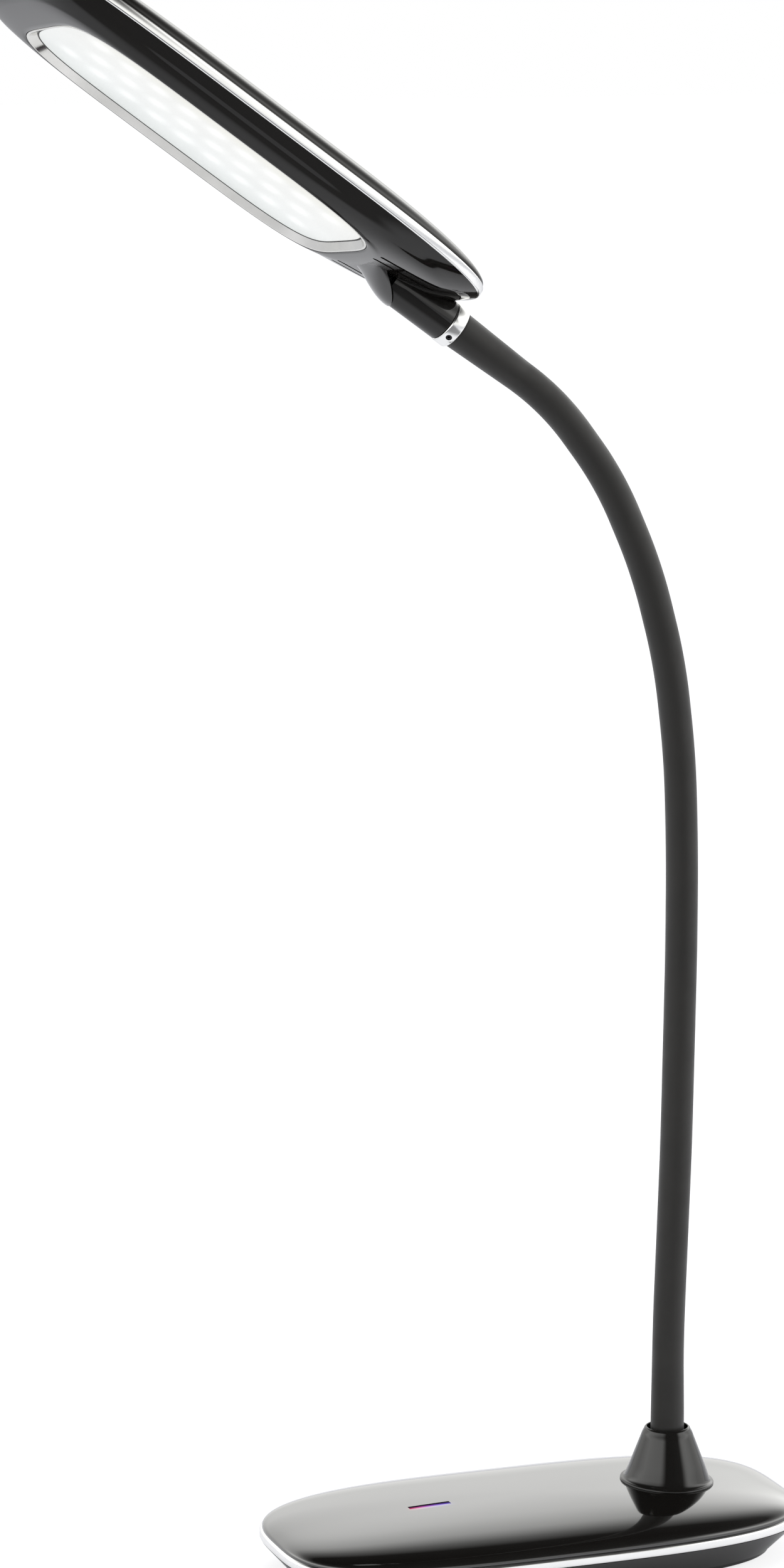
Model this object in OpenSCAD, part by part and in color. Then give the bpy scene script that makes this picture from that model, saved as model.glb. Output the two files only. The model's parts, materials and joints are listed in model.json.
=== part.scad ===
// Gooseneck desk lamp: weighted touch base, flexible neck in hinged lengths, slim LED head.
// Origin: middle of the base's underside, on the table. +X points to the user, +Y to the left, +Z up.

/* [Base] */
// Length of the base along X, over the trim
base_len = 188; // [160:1:230]
// Width of the base along Y, over the trim
base_wid = 94; // [84:1:120]
// Squareness of the base outline: 2 is an ellipse, more is squarer
base_square = 3.3; // [2.6:0.1:4.5]
// Height of the base's lower shell
lower_h = 12; // [11:0.5:18]
// How far the lower shell's bottom edge draws in from the trim
lower_draw = 10; // [4:0.5:12]
// Height of the trim bead between the base shells
base_trim_h = 3.6; // [2:0.2:6]
// Radial depth of the trim bead
base_trim_w = 3; // [2.6:0.1:5]
// Rise of the domed top shell above the trim
dome_rise = 8.2; // [7:0.1:14]
// Set-in of the top shell from the trim's outer edge
dome_inset = 0.8; // [0.3:0.1:1.5]
// Wall of the base shells
base_wall = 2.2; // [1.6:0.1:2.5]
// Thickness of the lower shell's floor
floor_t = 2.4; // [2:0.1:4]
// Height of the lip that centres the top shell
lip_over = 1; // [0.6:0.1:1.2]
// Set-in of that lip from the trim's inner edge
lip_in = 1; // [0.9:0.1:1.2]

/* [Feet and ballast] */
// Radius of a round rubber foot
foot_r = 6; // [4:0.5:7]
// Thickness of the feet and of the middle pad
foot_t = 1.6; // [1.4:0.1:2.2]
// Depth of the seats that hold the feet and the pad
foot_seat = 0.6; // [0.3:0.1:1]
// Distance of the feet from the middle along X
foot_x = 63; // [54:1:66]
// Distance of the feet from the middle along Y
foot_y = 16; // [12:1:20]
// Length of the oblong rubber pad under the middle of the base
pad_len = 50; // [30:1:64]
// Width of that pad
pad_wid = 20; // [12:1:26]
// Thickness of the steel ballast plate
ballast_t = 4.6; // [2:0.1:5]
// Margin between the ballast plate and the lower shell's wall
ballast_gap = 6; // [4:0.5:9]

/* [Base screws] */
// Radius of the base screw's shank
base_screw_r = 1.4; // [1:0.1:2]
// Radius of the base screw's head
base_screw_head_r = 2.8; // [2.3:0.1:3.6]
// Depth of the base screw's head
base_screw_head_t = 1.3; // [0.8:0.1:1.8]
// Length of a base screw over all
base_screw_len = 10; // [8:0.5:14]
// Radius of the bosses that take the base screws
boss_r = 3.5; // [2.8:0.1:4.2]
// Distance of the base screws from the middle along X
boss_x = 46; // [40:1:50]
// Distance of the base screws from the middle along Y
boss_y = 21; // [19:1:22]

/* [Touch control] */
// Distance from the middle of the base to the middle of the touch slit
slit_x = 37.6; // [30:0.5:48]
// Length of the touch slit
slit_len = 15; // [8:0.5:20]
// Width of the touch slit
slit_wid = 2.6; // [1:0.1:4]
// Set-back of the lit lens below the dome's skin
lens_drop = 0.2; // [0.1:0.1:1]
// Length of the touch board
touch_board_len = 26; // [24:1:30]
// Width of the touch board
touch_board_wid = 18; // [16:1:20]

/* [Boards] */
// Thickness of every circuit board
board_t = 1.6; // [0.8:0.1:2]
// Length of the driver board
driver_len = 52; // [46:1:56]
// Width of the driver board
driver_wid = 36; // [32:1:40]
// Distance from the middle of the base to the middle of the driver board
driver_x = 6; // [2:1:10]
// Inset of a board's posts from its edges
post_inset = 4.5; // [3.5:0.5:6]

/* [Power inlet] */
// Radius of the inlet's round nose
inlet_nose_r = 3.3; // [2.6:0.1:3.4]
// Radius of the socket in the inlet
inlet_bore_r = 1.8; // [1.2:0.1:2.2]
// Height of the inlet's axis above the table
inlet_z = 7.4; // [7.2:0.1:8]

/* [Neck mounting] */
// Distance of the neck's axis from the rear end of the base
neck_edge = 43.5; // [38:0.5:48]
// Height of the cone collar above the dome
collar_h = 19.4; // [16:0.2:26]
// Radius of the cone collar at the top
collar_top_r = 8; // [7.7:0.1:9]
// Radius of the cone collar at the bottom
collar_base_r = 15.4; // [13:0.1:18]
// Radius of the hole in the top of the collar
collar_hole_r = 7.1; // [6.5:0.1:7.3]
// Wall of the collar
collar_wall = 1.8; // [1.2:0.1:2.2]
// Overhang of the collar's thin skirt
skirt_over = 0.9; // [0.5:0.1:2]
// Thickness of the collar's thin skirt
skirt_t = 0.9; // [0.6:0.1:1.6]
// Radius of the ferrule's threaded stem
stem_r = 4.7; // [4:0.1:5]
// Thickness of the neck nut
nut_t = 4.4; // [2.5:0.1:4.8]
// Width of the neck nut across its flats
nut_af = 14; // [12:0.5:17]

/* [Neck] */
// Radius of the rubber sleeve
sleeve_r = 5.5; // [5.2:0.1:5.7]
// Radius of the sleeve's thicker lower end
sleeve_low_r = 5.8; // [5.6:0.1:6.2]
// Radius of the sleeve's thicker upper end, at the chrome ring
sleeve_top_r = 6.4; // [5.8:0.1:6.8]
// Radius of the steel hose inside the sleeve
hose_r = 3; // [2.6:0.1:3.2]
// Radius of the wire channel in the hose
channel_r = 1.9; // [1.4:0.1:2]
// Length of the whole neck along its curve, from the ferrule's flange to the chrome ring
neck_len = 430.5; // [380:0.5:490]
// Length of the neck from the ferrule's flange to the first pivot
first_len = 30; // [26:0.5:36]
// Length of the neck from the last pivot to the chrome ring
last_len = 32; // [28:0.5:38]
// Radial gap between a sleeve's round end and the next sleeve's cup
cup_gap = 0.3; // [0.2:0.05:0.5]
// Distance from a pivot to the rim of the cup around it
cup_rim = 2.4; // [2:0.1:3.5]

/* [Head pose] */
// Roll of the head about the barrel's axis, near side up
head_roll = 6; // [-15:1:15]

/* [Chrome ring and barrel] */
// Radius of the chrome ring
ring_r = 7.4; // [7.3:0.1:8]
// Length of the chrome ring
ring_len = 4.6; // [3.5:0.1:8]
// Radius of the barrel
barrel_r = 7.15; // [6.9:0.05:7.2]
// Wall of the barrel
barrel_wall = 1.6; // [1.2:0.1:2]
// Length of the barrel
barrel_len = 24; // [23.5:0.5:25]
// Radius of the barrel's tapered nose, inside the cowl
nose_r = 5.9; // [5.7:0.1:6]
// Radius of the ring's grub screw
grub_r = 1; // [0.7:0.1:1.2]
// Angle of the grub screw round the ring, from the bottom to the left side
grub_angle = 45; // [0:5:90]

/* [Cowl] */
// Distance from the ring's middle to the tip of the cowl's tongue
cowl_x = 21.6; // [21.4:0.1:22]
// Length of the cowl
cowl_len = 19; // [18:0.5:20]
// Wall of the cowl over the barrel
cowl_wall = 0.8; // [0.8:0.1:1.2]
// Length of the rounded tongue at the cowl's mouth, seen from below
tongue_len = 14; // [8:0.5:16]
// Width of that tongue where it is widest
tongue_wid = 17.2; // [17:0.1:20]

/* [Head] */
// Length of the head over the trim
head_len = 197; // [185:1:215]
// Width of the head over the trim
head_wid = 79; // [78:1:90]
// Squareness of the head's outline
head_square = 4.2; // [3.8:0.1:5]
// Distance from the ring's middle to the rear tip of the head
head_start = 2.6; // [2.6:0.1:5]
// Height of the trim above the window plane
flank_h = 9.2; // [9.2:0.1:12]
// Height of the head's trim band
head_trim_h = 3.2; // [2:0.1:5]
// Rise of the upper shell above the trim
head_rise = 8.6; // [8:0.1:14]
// Wall of the head's shells
head_wall = 1.8; // [1.4:0.1:2.2]
// Set-in of the head's shells from the trim's outer edge
head_inset = 0.5; // [0.2:0.1:1]
// Depth of the window plane below the barrel's axis
window_drop = 1.9; // [1:0.1:3]

/* [Light window] */
// Length of the window
window_len = 124; // [110:1:130]
// Width of the window
window_wid = 68; // [60:1:68]
// Squareness of the window's outline
window_square = 4.6; // [3.8:0.1:6]
// Distance from the head's middle forward to the window's middle
window_fwd = 5.5; // [4:0.5:8]
// Depth of the bezel's chamfer
bezel_depth = 2.4; // [1.5:0.1:3]
// Inward run of the bezel's chamfer
bezel_run = 2.4; // [1:0.1:3]
// Thickness of the diffuser
diffuser_t = 1.8; // [1:0.1:2.4]
// Thickness of the aluminium heat spreader
spreader_t = 1; // [0.6:0.1:1.5]
// Distance between the LEDs along a row
led_pitch = 11.8; // [10.5:0.1:12]
// Distance between the rows of LEDs
row_pitch = 14.5; // [10:0.5:15]

/* [Vents] */
// Length of a vent slot
vent_len = 23; // [10:0.5:24]
// Width of a vent slot
vent_wid = 1.6; // [1:0.1:2.2]
// Distance of the inner vent slots from the barrel's axis
vent_in = 14.8; // [14.6:0.1:17]
// Distance between the two slots of a pair
vent_step = 5.7; // [4:0.1:7]

/* [Hidden] */
LINKS = 11;

fit = 0.05;        // snug gap between pieces that seat in each other
slip = 0.15;       // gap between pieces that drop into each other
eps = 0.01;        // overlap of two volumes that are joined
over = 1;          // overshoot of a cut past the face it opens
root = 0.6;        // how far a post reaches into the shell that carries it
plan_seg = 72;     // corners of a superellipse outline
bend_ease = 1.02;  // how much fatter a wire is at its bends
wire_r = 0.6;
tip_room = 1.4;    // room past the tip of a screw in its boss
$fn = 64;

black = [0.03, 0.03, 0.035];
silver = [0.82, 0.83, 0.85];
rubber_grey = [0.17, 0.165, 0.16];

// Heights in the base
foot_proud = foot_t - foot_seat;
lower_z = foot_proud;
trim_z = lower_z + lower_h;
dome_z0 = trim_z + base_trim_h;
floor_z = lower_z + floor_t;
ballast_top = floor_z + ballast_t;
base_a = base_len / 2;
base_b = base_wid / 2;
dome_a = base_a - dome_inset;
dome_b = base_b - dome_inset;
rim_a = base_a - base_trim_w;
rim_b = base_b - base_trim_w;
dome_power = 2.2;
dome_soft = 0.42;
dome_end = 88;     // angle at which a dome's rings stop short of its top
neck_x = neck_edge - base_a;
link_len = (neck_len - first_len - last_len) / LINKS;

// The superellipse with half axes a and b
function bend_pow(v, e) = sign(v) * pow(abs(v), e);
function outline(a, b, n) = [
    for (i = [0:plan_seg - 1])
        let (t = 360 * i / plan_seg)
        [a * bend_pow(cos(t), 2 / n), b * bend_pow(sin(t), 2 / n)]];

// How far out a point lies on the superellipse: 0 in the middle, 1 on its edge
function reach(x, y, a, b, n) = pow(pow(abs(x) / a, n) + pow(abs(y) / b, n), 1 / n);
function dome_height(x, y) =
    dome_z0 + dome_rise * pow(1 - pow(reach(x, y, dome_a, dome_b, base_square), dome_power), dome_soft);

// Ring of an oval with its own reach to the front and to the rear: [half length, half width, height, shift]
function oval(front, rear, b, z) = [(front + rear) / 2, b, z, (front - rear) / 2];

// Rings [half length, half width, height, shift] of a dome, from its rim to its top
function dome_rings(a, b, z, rise, power, soft, count) = [
    for (i = [0:count])
        let (t = dome_end * i / count, s = pow(cos(t), 2 / power))
        [a * s, b * s, z + rise * pow(sin(t), 2 * soft), 0]];

module loft(rings, n) {
    count = len(rings);
    points = [for (r = rings) for (p = outline(r[0], r[1], n)) [p[0] + r[3], p[1], r[2]]];
    sides = [
        for (k = [0:count - 2]) for (i = [0:plan_seg - 1])
            let (j = (i + 1) % plan_seg, low = k * plan_seg, high = low + plan_seg)
            for (f = [[low + i, high + j, low + j], [low + i, high + i, high + j]]) f];
    bottom = [[for (i = [0:plan_seg - 1]) i]];
    top = [[for (i = [plan_seg - 1:-1:0]) (count - 1) * plan_seg + i]];
    polyhedron(points = points, faces = concat(bottom, sides, top), convexity = 6);
}

module plate(a, b, n, z0, z1) {
    translate([0, 0, z0])
        linear_extrude(height = z1 - z0)
            polygon(outline(a, b, n));
}

module rod(r, z0, z1) {
    translate([0, 0, z0])
        cylinder(r = r, h = z1 - z0);
}

module tube(r_out, r_in, z0, z1) {
    difference() {
        rod(r_out, z0, z1);
        rod(r_in, z0 - eps, z1 + eps);
    }
}

module block(x0, x1, wid, z0, z1) {
    translate([x0, -wid / 2, z0])
        cube([x1 - x0, wid, z1 - z0]);
}

// Copies at the four corners of a rectangle
module at_corners(dx, dy) {
    for (sx = [-1, 1])
        for (sy = [-1, 1])
            translate([sx * dx, sy * dy, 0])
                children();
}

// A wire along straight runs, each parallel to X, Y or Z
module wire(route, r) {
    for (i = [0:len(route) - 2]) {
        step = route[i + 1] - route[i];
        run = norm(step);
        tilt = step[2] == 0 ? 90 : (step[2] > 0 ? 0 : 180);
        translate(route[i])
            rotate([0, tilt, step[2] == 0 ? atan2(step[1], step[0]) : 0])
                cylinder(r = r, h = run, $fn = 24);
        translate(route[i + 1])
            sphere(r = r * bend_ease, $fn = 24);
    }
}

// ---------------------------------------------------------------- base

module dome_outer(lift) {
    loft(dome_rings(dome_a, dome_b, dome_z0 + lift, dome_rise, dome_power, dome_soft, 12), base_square);
}

inner_a = rim_a + slip;
inner_b = rim_b + slip;

// Seat of the neck in the dome
seat_r = 9.5;
seat_rise = 0.8;
seat_drop = 1.8;
seat_top = dome_height(neck_x, 0) + seat_rise;
nut_seat_z = dome_height(neck_x, 0) - base_wall - seat_drop;
flange_t = 2;
flange_r = 8.5;

// Touch control
touch_z = dome_height(slit_x, 0);
touch_roof = touch_z - base_wall;
lens_flange_t = 1.2;
lens_lap = 1.2;
lens_gap = 0.4;
touch_board_top = touch_roof - lens_gap - lens_flange_t;
touch_post_r = 2;
touch_post_y = touch_board_wid / 2 - touch_post_r - root;
touch_screw_r = 0.8;
touch_screw_head_r = 1.5;
touch_screw_head_t = 0.8;
touch_screw_grip = 1.3;
touch_led_gap = 1.7;
touch_led = [1.6, 3, 0.8];

module at_touch_posts() {
    for (sy = [-1, 1])
        translate([slit_x, sy * touch_post_y, 0])
            children();
}

module base_top_shell() {
    color(black)
        difference() {
            union() {
                difference() {
                    dome_outer(0);
                    loft(concat([[inner_a, inner_b, dome_z0 - over, 0]],
                        dome_rings(inner_a, inner_b, dome_z0, dome_rise - base_wall, dome_power,
                            dome_soft, 9)), base_square);
                }
                at_corners(boss_x, boss_y)
                    rod(boss_r, floor_z, dome_height(boss_x, boss_y) - base_wall + root);
                translate([neck_x, 0, 0])
                    rod(seat_r, nut_seat_z, seat_top);
                at_touch_posts()
                    rod(touch_post_r, touch_board_top, touch_roof + root);
            }
            at_corners(boss_x, boss_y)
                rod(base_screw_r + fit, floor_z - over, lower_z + base_screw_len + tip_room);
            translate([neck_x, 0, 0])
                rod(stem_r + slip, nut_seat_z - over, seat_top + over);
            block(slit_x - slit_len / 2, slit_x + slit_len / 2, slit_wid, touch_roof - over,
                touch_z + 2 * over);
            at_touch_posts()
                rod(touch_screw_r + fit, touch_board_top - over, touch_roof);
        }
}

module base_trim() {
    color(silver)
        difference() {
            plate(base_a, base_b, base_square, trim_z, dome_z0);
            plate(rim_a, rim_b, base_square, trim_z - over, dome_z0 + over);
        }
}

// Lower shell, just inside the trim's outer edge
lower_inset = 0.4;
lower_a = base_a - lower_inset;
lower_b = base_b - lower_inset;
foot_a = base_a - lower_draw;
foot_b = base_b - lower_draw;
edge_round = 1.2;
cavity_a = foot_a - base_wall;
cavity_b = foot_b - base_wall;
driver_gap = 1;
driver_z = ballast_top + driver_gap;
post_r = 2.4;

// Power inlet, in a pocket behind the rear wall
inlet_sink = 0.6;
inlet_nose = 4.5;
inlet_len = 12;
inlet_wid = 8;
inlet_t = 6.6;
inlet_tail = 1;
inlet_pin_r = 0.55;
inlet_depth = 9;
pocket_wall = 2;
pocket_back = 1.2;
pocket_h = 1.5;
inlet_face = base_a - lower_draw * (1 - (inlet_z - lower_z) / lower_h) - inlet_sink;
inlet_shoulder = inlet_face - inlet_nose;
inlet_back = inlet_shoulder - inlet_len;

module at_driver_posts() {
    translate([driver_x, 0, 0])
        at_corners(driver_len / 2 - post_inset, driver_wid / 2 - post_inset)
            children();
}

module base_lower_shell() {
    color(black)
        difference() {
            union() {
                difference() {
                    loft([[foot_a - edge_round, foot_b - edge_round, lower_z, 0],
                        [foot_a, foot_b, lower_z + edge_round, 0],
                        [lower_a, lower_b, trim_z, 0]], base_square);
                    loft([[cavity_a, cavity_b, floor_z, 0],
                        [rim_a - base_wall, rim_b - base_wall, trim_z + eps, 0],
                        [rim_a - base_wall, rim_b - base_wall, trim_z + over, 0]], base_square);
                }
                difference() {
                    union() {
                        plate(rim_a - slip, rim_b - slip, base_square, trim_z - over, dome_z0);
                        plate(rim_a - lip_in, rim_b - lip_in, base_square, dome_z0 - over,
                            dome_z0 + lip_over);
                    }
                    plate(rim_a - base_wall, rim_b - base_wall, base_square, trim_z - 2 * over,
                        dome_z0 + lip_over + over);
                }
                at_driver_posts()
                    rod(post_r, floor_z - root, driver_z);
                block(-inlet_shoulder - pocket_back, -inlet_back, inlet_wid + 2 * pocket_wall,
                    floor_z - root, inlet_z + pocket_h);
            }
            at_corners(foot_x, foot_y)
                rod(foot_r + fit, lower_z - over, lower_z + foot_seat);
            plate(pad_len / 2 + fit, pad_wid / 2 + fit, base_square, lower_z - over, lower_z + foot_seat);
            at_corners(boss_x, boss_y) {
                rod(base_screw_r + slip, lower_z - over, floor_z + over);
                rod(base_screw_head_r + slip, lower_z - over, lower_z + base_screw_head_t);
            }
            block(-inlet_shoulder, over - inlet_back, inlet_wid + 2 * fit, inlet_z - inlet_t / 2,
                trim_z);
            translate([over - inlet_shoulder, 0, inlet_z])
                rotate([0, -90, 0])
                    cylinder(r = inlet_nose_r + fit, h = inlet_nose + inlet_nose_r + 3 * over);
        }
}

module ballast_plate() {
    hole_gap = 0.8;
    side_gap = ballast_gap / 2;
    color([0.35, 0.36, 0.38])
        difference() {
            plate(cavity_a - ballast_gap, cavity_b - side_gap, base_square, floor_z, ballast_top);
            at_corners(boss_x, boss_y)
                rod(boss_r + hole_gap, floor_z - over, ballast_top + over);
            at_driver_posts()
                rod(post_r + hole_gap, floor_z - over, ballast_top + over);
            block(-base_a, over - inlet_back, inlet_wid + 2 * pocket_wall + 2 * hole_gap,
                floor_z - over, ballast_top + over);
        }
}

module base_feet() {
    color([0.09, 0.09, 0.09])
        union() {
            at_corners(foot_x, foot_y)
                rod(foot_r, 0, foot_t);
            plate(pad_len / 2, pad_wid / 2, base_square, 0, foot_t);
        }
}

// A cross-head screw, its head's face at z 0 and its tip at z full_len
module screw(r, head_r, head_t, full_len) {
    cross_len = 1.2 * head_r;
    cross_wid = 0.24 * head_r;
    cross_z = 0.4 * head_t;
    difference() {
        union() {
            rod(head_r, 0, head_t);
            rod(r, head_t - eps, full_len);
        }
        block(-cross_len / 2, cross_len / 2, cross_wid, -eps, cross_z);
        block(-cross_wid / 2, cross_wid / 2, cross_len, -eps, cross_z);
    }
}

module base_screws() {
    color([0.6, 0.6, 0.62])
        at_corners(boss_x, boss_y)
            translate([0, 0, lower_z])
                screw(base_screw_r, base_screw_head_r, base_screw_head_t, base_screw_len);
}

module touch_lens() {
    color([0.5, 0.2, 0.9])
        union() {
            intersection() {
                block(slit_x - slit_len / 2 + fit, slit_x + slit_len / 2 - fit, slit_wid - 2 * fit,
                    touch_board_top, touch_z + over);
                dome_outer(-lens_drop);
            }
            block(slit_x - slit_len / 2 - lens_lap, slit_x + slit_len / 2 + lens_lap,
                slit_wid + 2 * lens_lap, touch_board_top, touch_board_top + lens_flange_t);
        }
}

module touch_board() {
    color([0.1, 0.3, 0.2])
        difference() {
            block(slit_x - touch_board_len / 2, slit_x + touch_board_len / 2, touch_board_wid,
                touch_board_top - board_t, touch_board_top);
            at_touch_posts()
                rod(touch_screw_r + fit, touch_board_top - board_t - over, touch_board_top + over);
        }
}

module touch_leds() {
    color([0.95, 0.9, 0.8])
        for (sx = [-1, 1])
            translate([slit_x + sx * (slit_len / 2 + touch_led_gap + touch_led[0] / 2), 0, 0])
                block(-touch_led[0] / 2, touch_led[0] / 2, touch_led[1], touch_board_top,
                    touch_board_top + touch_led[2]);
}

module touch_screws() {
    color([0.6, 0.6, 0.62])
        at_touch_posts()
            translate([0, 0, touch_board_top - board_t - touch_screw_head_t])
                screw(touch_screw_r, touch_screw_head_r, touch_screw_head_t,
                    touch_screw_head_t + board_t + touch_screw_grip);
}

// What the driver board carries: a coil, a capacitor and a wire terminal
coil = [12, 12, 5];
coil_x = 10;
can_r = 4;
can_h = 6;
can_x = -8;
can_y = 8;
terminal = [5, 8, 2.5];
terminal_in = 2;
terminal_x = driver_x - driver_len / 2 + terminal_in;

module driver_board() {
    top = driver_z + board_t;
    color([0.1, 0.3, 0.2])
        union() {
            block(driver_x - driver_len / 2, driver_x + driver_len / 2, driver_wid, driver_z, top);
            translate([driver_x + coil_x, 0, 0])
                block(-coil[0] / 2, coil[0] / 2, coil[1], top - eps, top + coil[2]);
            translate([driver_x + can_x, can_y, 0])
                rod(can_r, top - eps, top + can_h);
            block(terminal_x, terminal_x + terminal[0], terminal[1], top - eps, top + terminal[2]);
        }
}

module power_inlet() {
    color([0.12, 0.12, 0.13])
        difference() {
            union() {
                block(-inlet_shoulder, -inlet_back - inlet_tail, inlet_wid, inlet_z - inlet_t / 2,
                    inlet_z + inlet_t / 2);
                translate([eps - inlet_shoulder, 0, inlet_z])
                    rotate([0, -90, 0])
                        cylinder(r = inlet_nose_r, h = inlet_nose);
            }
            translate([-inlet_face - over, 0, inlet_z])
                rotate([0, 90, 0])
                    tube(inlet_bore_r, inlet_pin_r, 0, inlet_depth + over);
        }
}

// The neck's two wires and the inlet's two, all to the driver board's terminal
module base_wires() {
    neck_y = 0.8;
    feed_y = 2.6;
    feed_z = inlet_z + 2 * wire_r;
    feed_run = 5 * wire_r;
    end_x = terminal_x - wire_r * bend_ease;
    end_z = driver_z + board_t + terminal[2] - 2 * wire_r;
    start_x = -inlet_back - inlet_tail;
    color([0.7, 0.1, 0.1])
        for (sy = [-1, 1]) {
            wire([[neck_x, sy * neck_y, nut_seat_z], [neck_x, sy * neck_y, end_z],
                [end_x, sy * neck_y, end_z]], wire_r);
            wire([[start_x, sy * feed_y, feed_z], [start_x + feed_run, sy * feed_y, feed_z],
                [start_x + feed_run, sy * feed_y, end_z], [end_x, sy * feed_y, end_z]], wire_r);
        }
}

// ---------------------------------------------------------------- neck mounting

collar_z = dome_height(neck_x, 0);
collar_lip = 0.8;
collar_throat = 3;
collar_sink = 2.5;   // how far the cone is drawn below the dome, before the dome is cut from it

module neck_collar() {
    slope = (collar_base_r - collar_top_r) / collar_h;
    sunk_r = collar_base_r + slope * collar_sink;
    lip_r = collar_top_r - collar_lip;
    lip_z = collar_h - collar_lip;
    color(black)
        difference() {
            union() {
                translate([neck_x, 0, collar_z])
                    rotate_extrude()
                        polygon(concat(
                            [[sunk_r - collar_wall, -collar_sink], [sunk_r, -collar_sink],
                             [collar_top_r, lip_z]],
                            [for (a = [15:15:75]) [lip_r + collar_lip * cos(a),
                                lip_z + collar_lip * sin(a)]],
                            [[lip_r, collar_h], [collar_hole_r, collar_h],
                             [collar_hole_r, collar_h - collar_throat]]));
                intersection() {
                    translate([neck_x, 0, 0])
                        tube(collar_base_r + skirt_over, collar_base_r - over, dome_z0,
                            collar_z + skirt_t + over);
                    dome_outer(skirt_t);
                }
            }
            dome_outer(0);
        }
}

ferrule_grip = 14;
ferrule_top = seat_top + flange_t + ferrule_grip;
ferrule_wall = 0.6;
thread_end = 1.5;
washer_t = 1.2;
washer_in = 0.7;
nut_top = nut_seat_z - washer_t;

module neck_ferrule() {
    color([0.55, 0.56, 0.58])
        translate([neck_x, 0, 0])
            difference() {
                union() {
                    rod(stem_r, nut_top - nut_t - thread_end, seat_top + eps);
                    rod(flange_r, seat_top, seat_top + flange_t);
                    rod(hose_r + fit + ferrule_wall, seat_top + flange_t - eps, ferrule_top);
                }
                rod(channel_r, 0, seat_top + flange_t + eps);
                rod(hose_r + fit, seat_top + flange_t, ferrule_top + over);
            }
}

module neck_washer() {
    color(silver)
        translate([neck_x, 0, 0])
            tube(seat_r - washer_in, stem_r + slip, nut_top, nut_seat_z);
}

module neck_nut() {
    color([0.7, 0.65, 0.45])
        translate([neck_x, 0, 0])
            difference() {
                translate([0, 0, nut_top - nut_t])
                    cylinder(r = nut_af / 2 / cos(30), h = nut_t, $fn = 6);
                rod(stem_r + fit, 0, nut_seat_z);
            }
}

// ---------------------------------------------------------------- neck

// Rest bend of each length of neck, in degrees, from the base up: forwards is positive
link_bend = [0, -2, 0, 1, 0, 1, 2, 5, 8, 9, 13, 17, 0];
cup_len = 6.5;     // straight start of each length, around the cup
function piece_len(i) = i == 0 ? first_len : (i == LINKS + 1 ? last_len : link_len);
function arc_len(i) = piece_len(i) - cup_len;
function bend_before(i) = i == 0 ? 0 : link_bend[i - 1] + bend_before(i - 1);

// Step along an arc that starts at slope tau and turns forwards by b degrees
function arc_step(length, tau, b) =
    b == 0 ? length * [cos(tau), 0, sin(tau)]
    : (length * 180 / (b * PI)) * [sin(tau) - sin(tau - b), 0, cos(tau - b) - cos(tau)];
function piece_step(i, tau) = cup_len * [cos(tau), 0, sin(tau)] + arc_step(arc_len(i), tau, link_bend[i]);
neck_start = [neck_x, 0, seat_top + flange_t];
function pivot(i) = i == 0 ? neck_start : pivot(i - 1) + piece_step(i - 1, 90 - bend_before(i - 1));

module on_link(i) {
    translate(pivot(i))
        rotate([0, bend_before(i), 0])
            children();
}

module at_end(i) {
    translate(piece_step(i, 90))
        rotate([0, link_bend[i], 0])
            children();
}

// A tube along length i from the end of its straight start, for the share given of its arc
module arc_tube(i, r_out, r_in, share) {
    b = abs(link_bend[i]);
    if (b == 0) {
        tube(r_out, r_in, cup_len, cup_len + arc_len(i) * share);
    } else {
        radius = arc_len(i) * 180 / (b * PI);
        mirror([link_bend[i] < 0 ? 1 : 0, 0, 0])
            translate([radius, 0, cup_len])
                rotate([90, 0, 180])
                    rotate_extrude(angle = b * share, $fn = 96)
                        translate([radius, 0])
                            difference() {
                                circle(r = r_out, $fn = 48);
                                circle(r = r_in, $fn = 48);
                            }
    }
}

ball_r = sleeve_r - 2 * fit;
sleeve_bore = hose_r + fit;
sleeve_step = 4;   // from the end of the sleeve's thicker foot to the first pivot
hose_tail = 9;     // how far the last hose reaches past the chrome ring
hose_gap = 1.4;    // between a pivot and the end of the hose below it
hose_lift = ball_r + slip;   // from a pivot to the hose above it, clear of the ball it swings over
ball_root = 0.4;   // how far the round end reaches back into its length

// The round end that the next length's cup turns on
module ball_end(i) {
    at_end(i)
        difference() {
            sphere(r = ball_r);
            rod(ball_r + over, -ball_r - over, -ball_root);
            rod(sleeve_bore + fit, -over, ball_r + over);
        }
}

module low_sleeve() {
    socket = ferrule_top - neck_start[2] + slip;
    thick = first_len - sleeve_step;
    on_link(0)
        union() {
            tube(sleeve_low_r, hose_r + 2 * fit + ferrule_wall, fit, socket);
            tube(sleeve_low_r, sleeve_bore, socket, thick);
            tube(sleeve_r, sleeve_bore, thick, first_len);
            ball_end(0);
        }
}

module mid_sleeve(i) {
    on_link(i)
        union() {
            difference() {
                rod(sleeve_r, cup_rim, cup_len);
                rod(sleeve_bore, 0, cup_len + over);
                sphere(r = ball_r + cup_gap);
            }
            arc_tube(i, sleeve_r, sleeve_bore, 1);
            ball_end(i);
        }
}

module top_sleeve() {
    stop = last_len - ring_len / 2 - fit;
    on_link(LINKS + 1)
        difference() {
            translate([0, 0, cup_rim])
                cylinder(r1 = sleeve_r, r2 = sleeve_top_r, h = stop - cup_rim);
            rod(sleeve_bore, 0, stop + over);
            sphere(r = ball_r + cup_gap);
        }
}

module neck_sleeve(i) {
    color(rubber_grey)
        if (i == 0) {
            low_sleeve();
        } else if (i == LINKS + 1) {
            top_sleeve();
        } else {
            mid_sleeve(i);
        }
}

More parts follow.
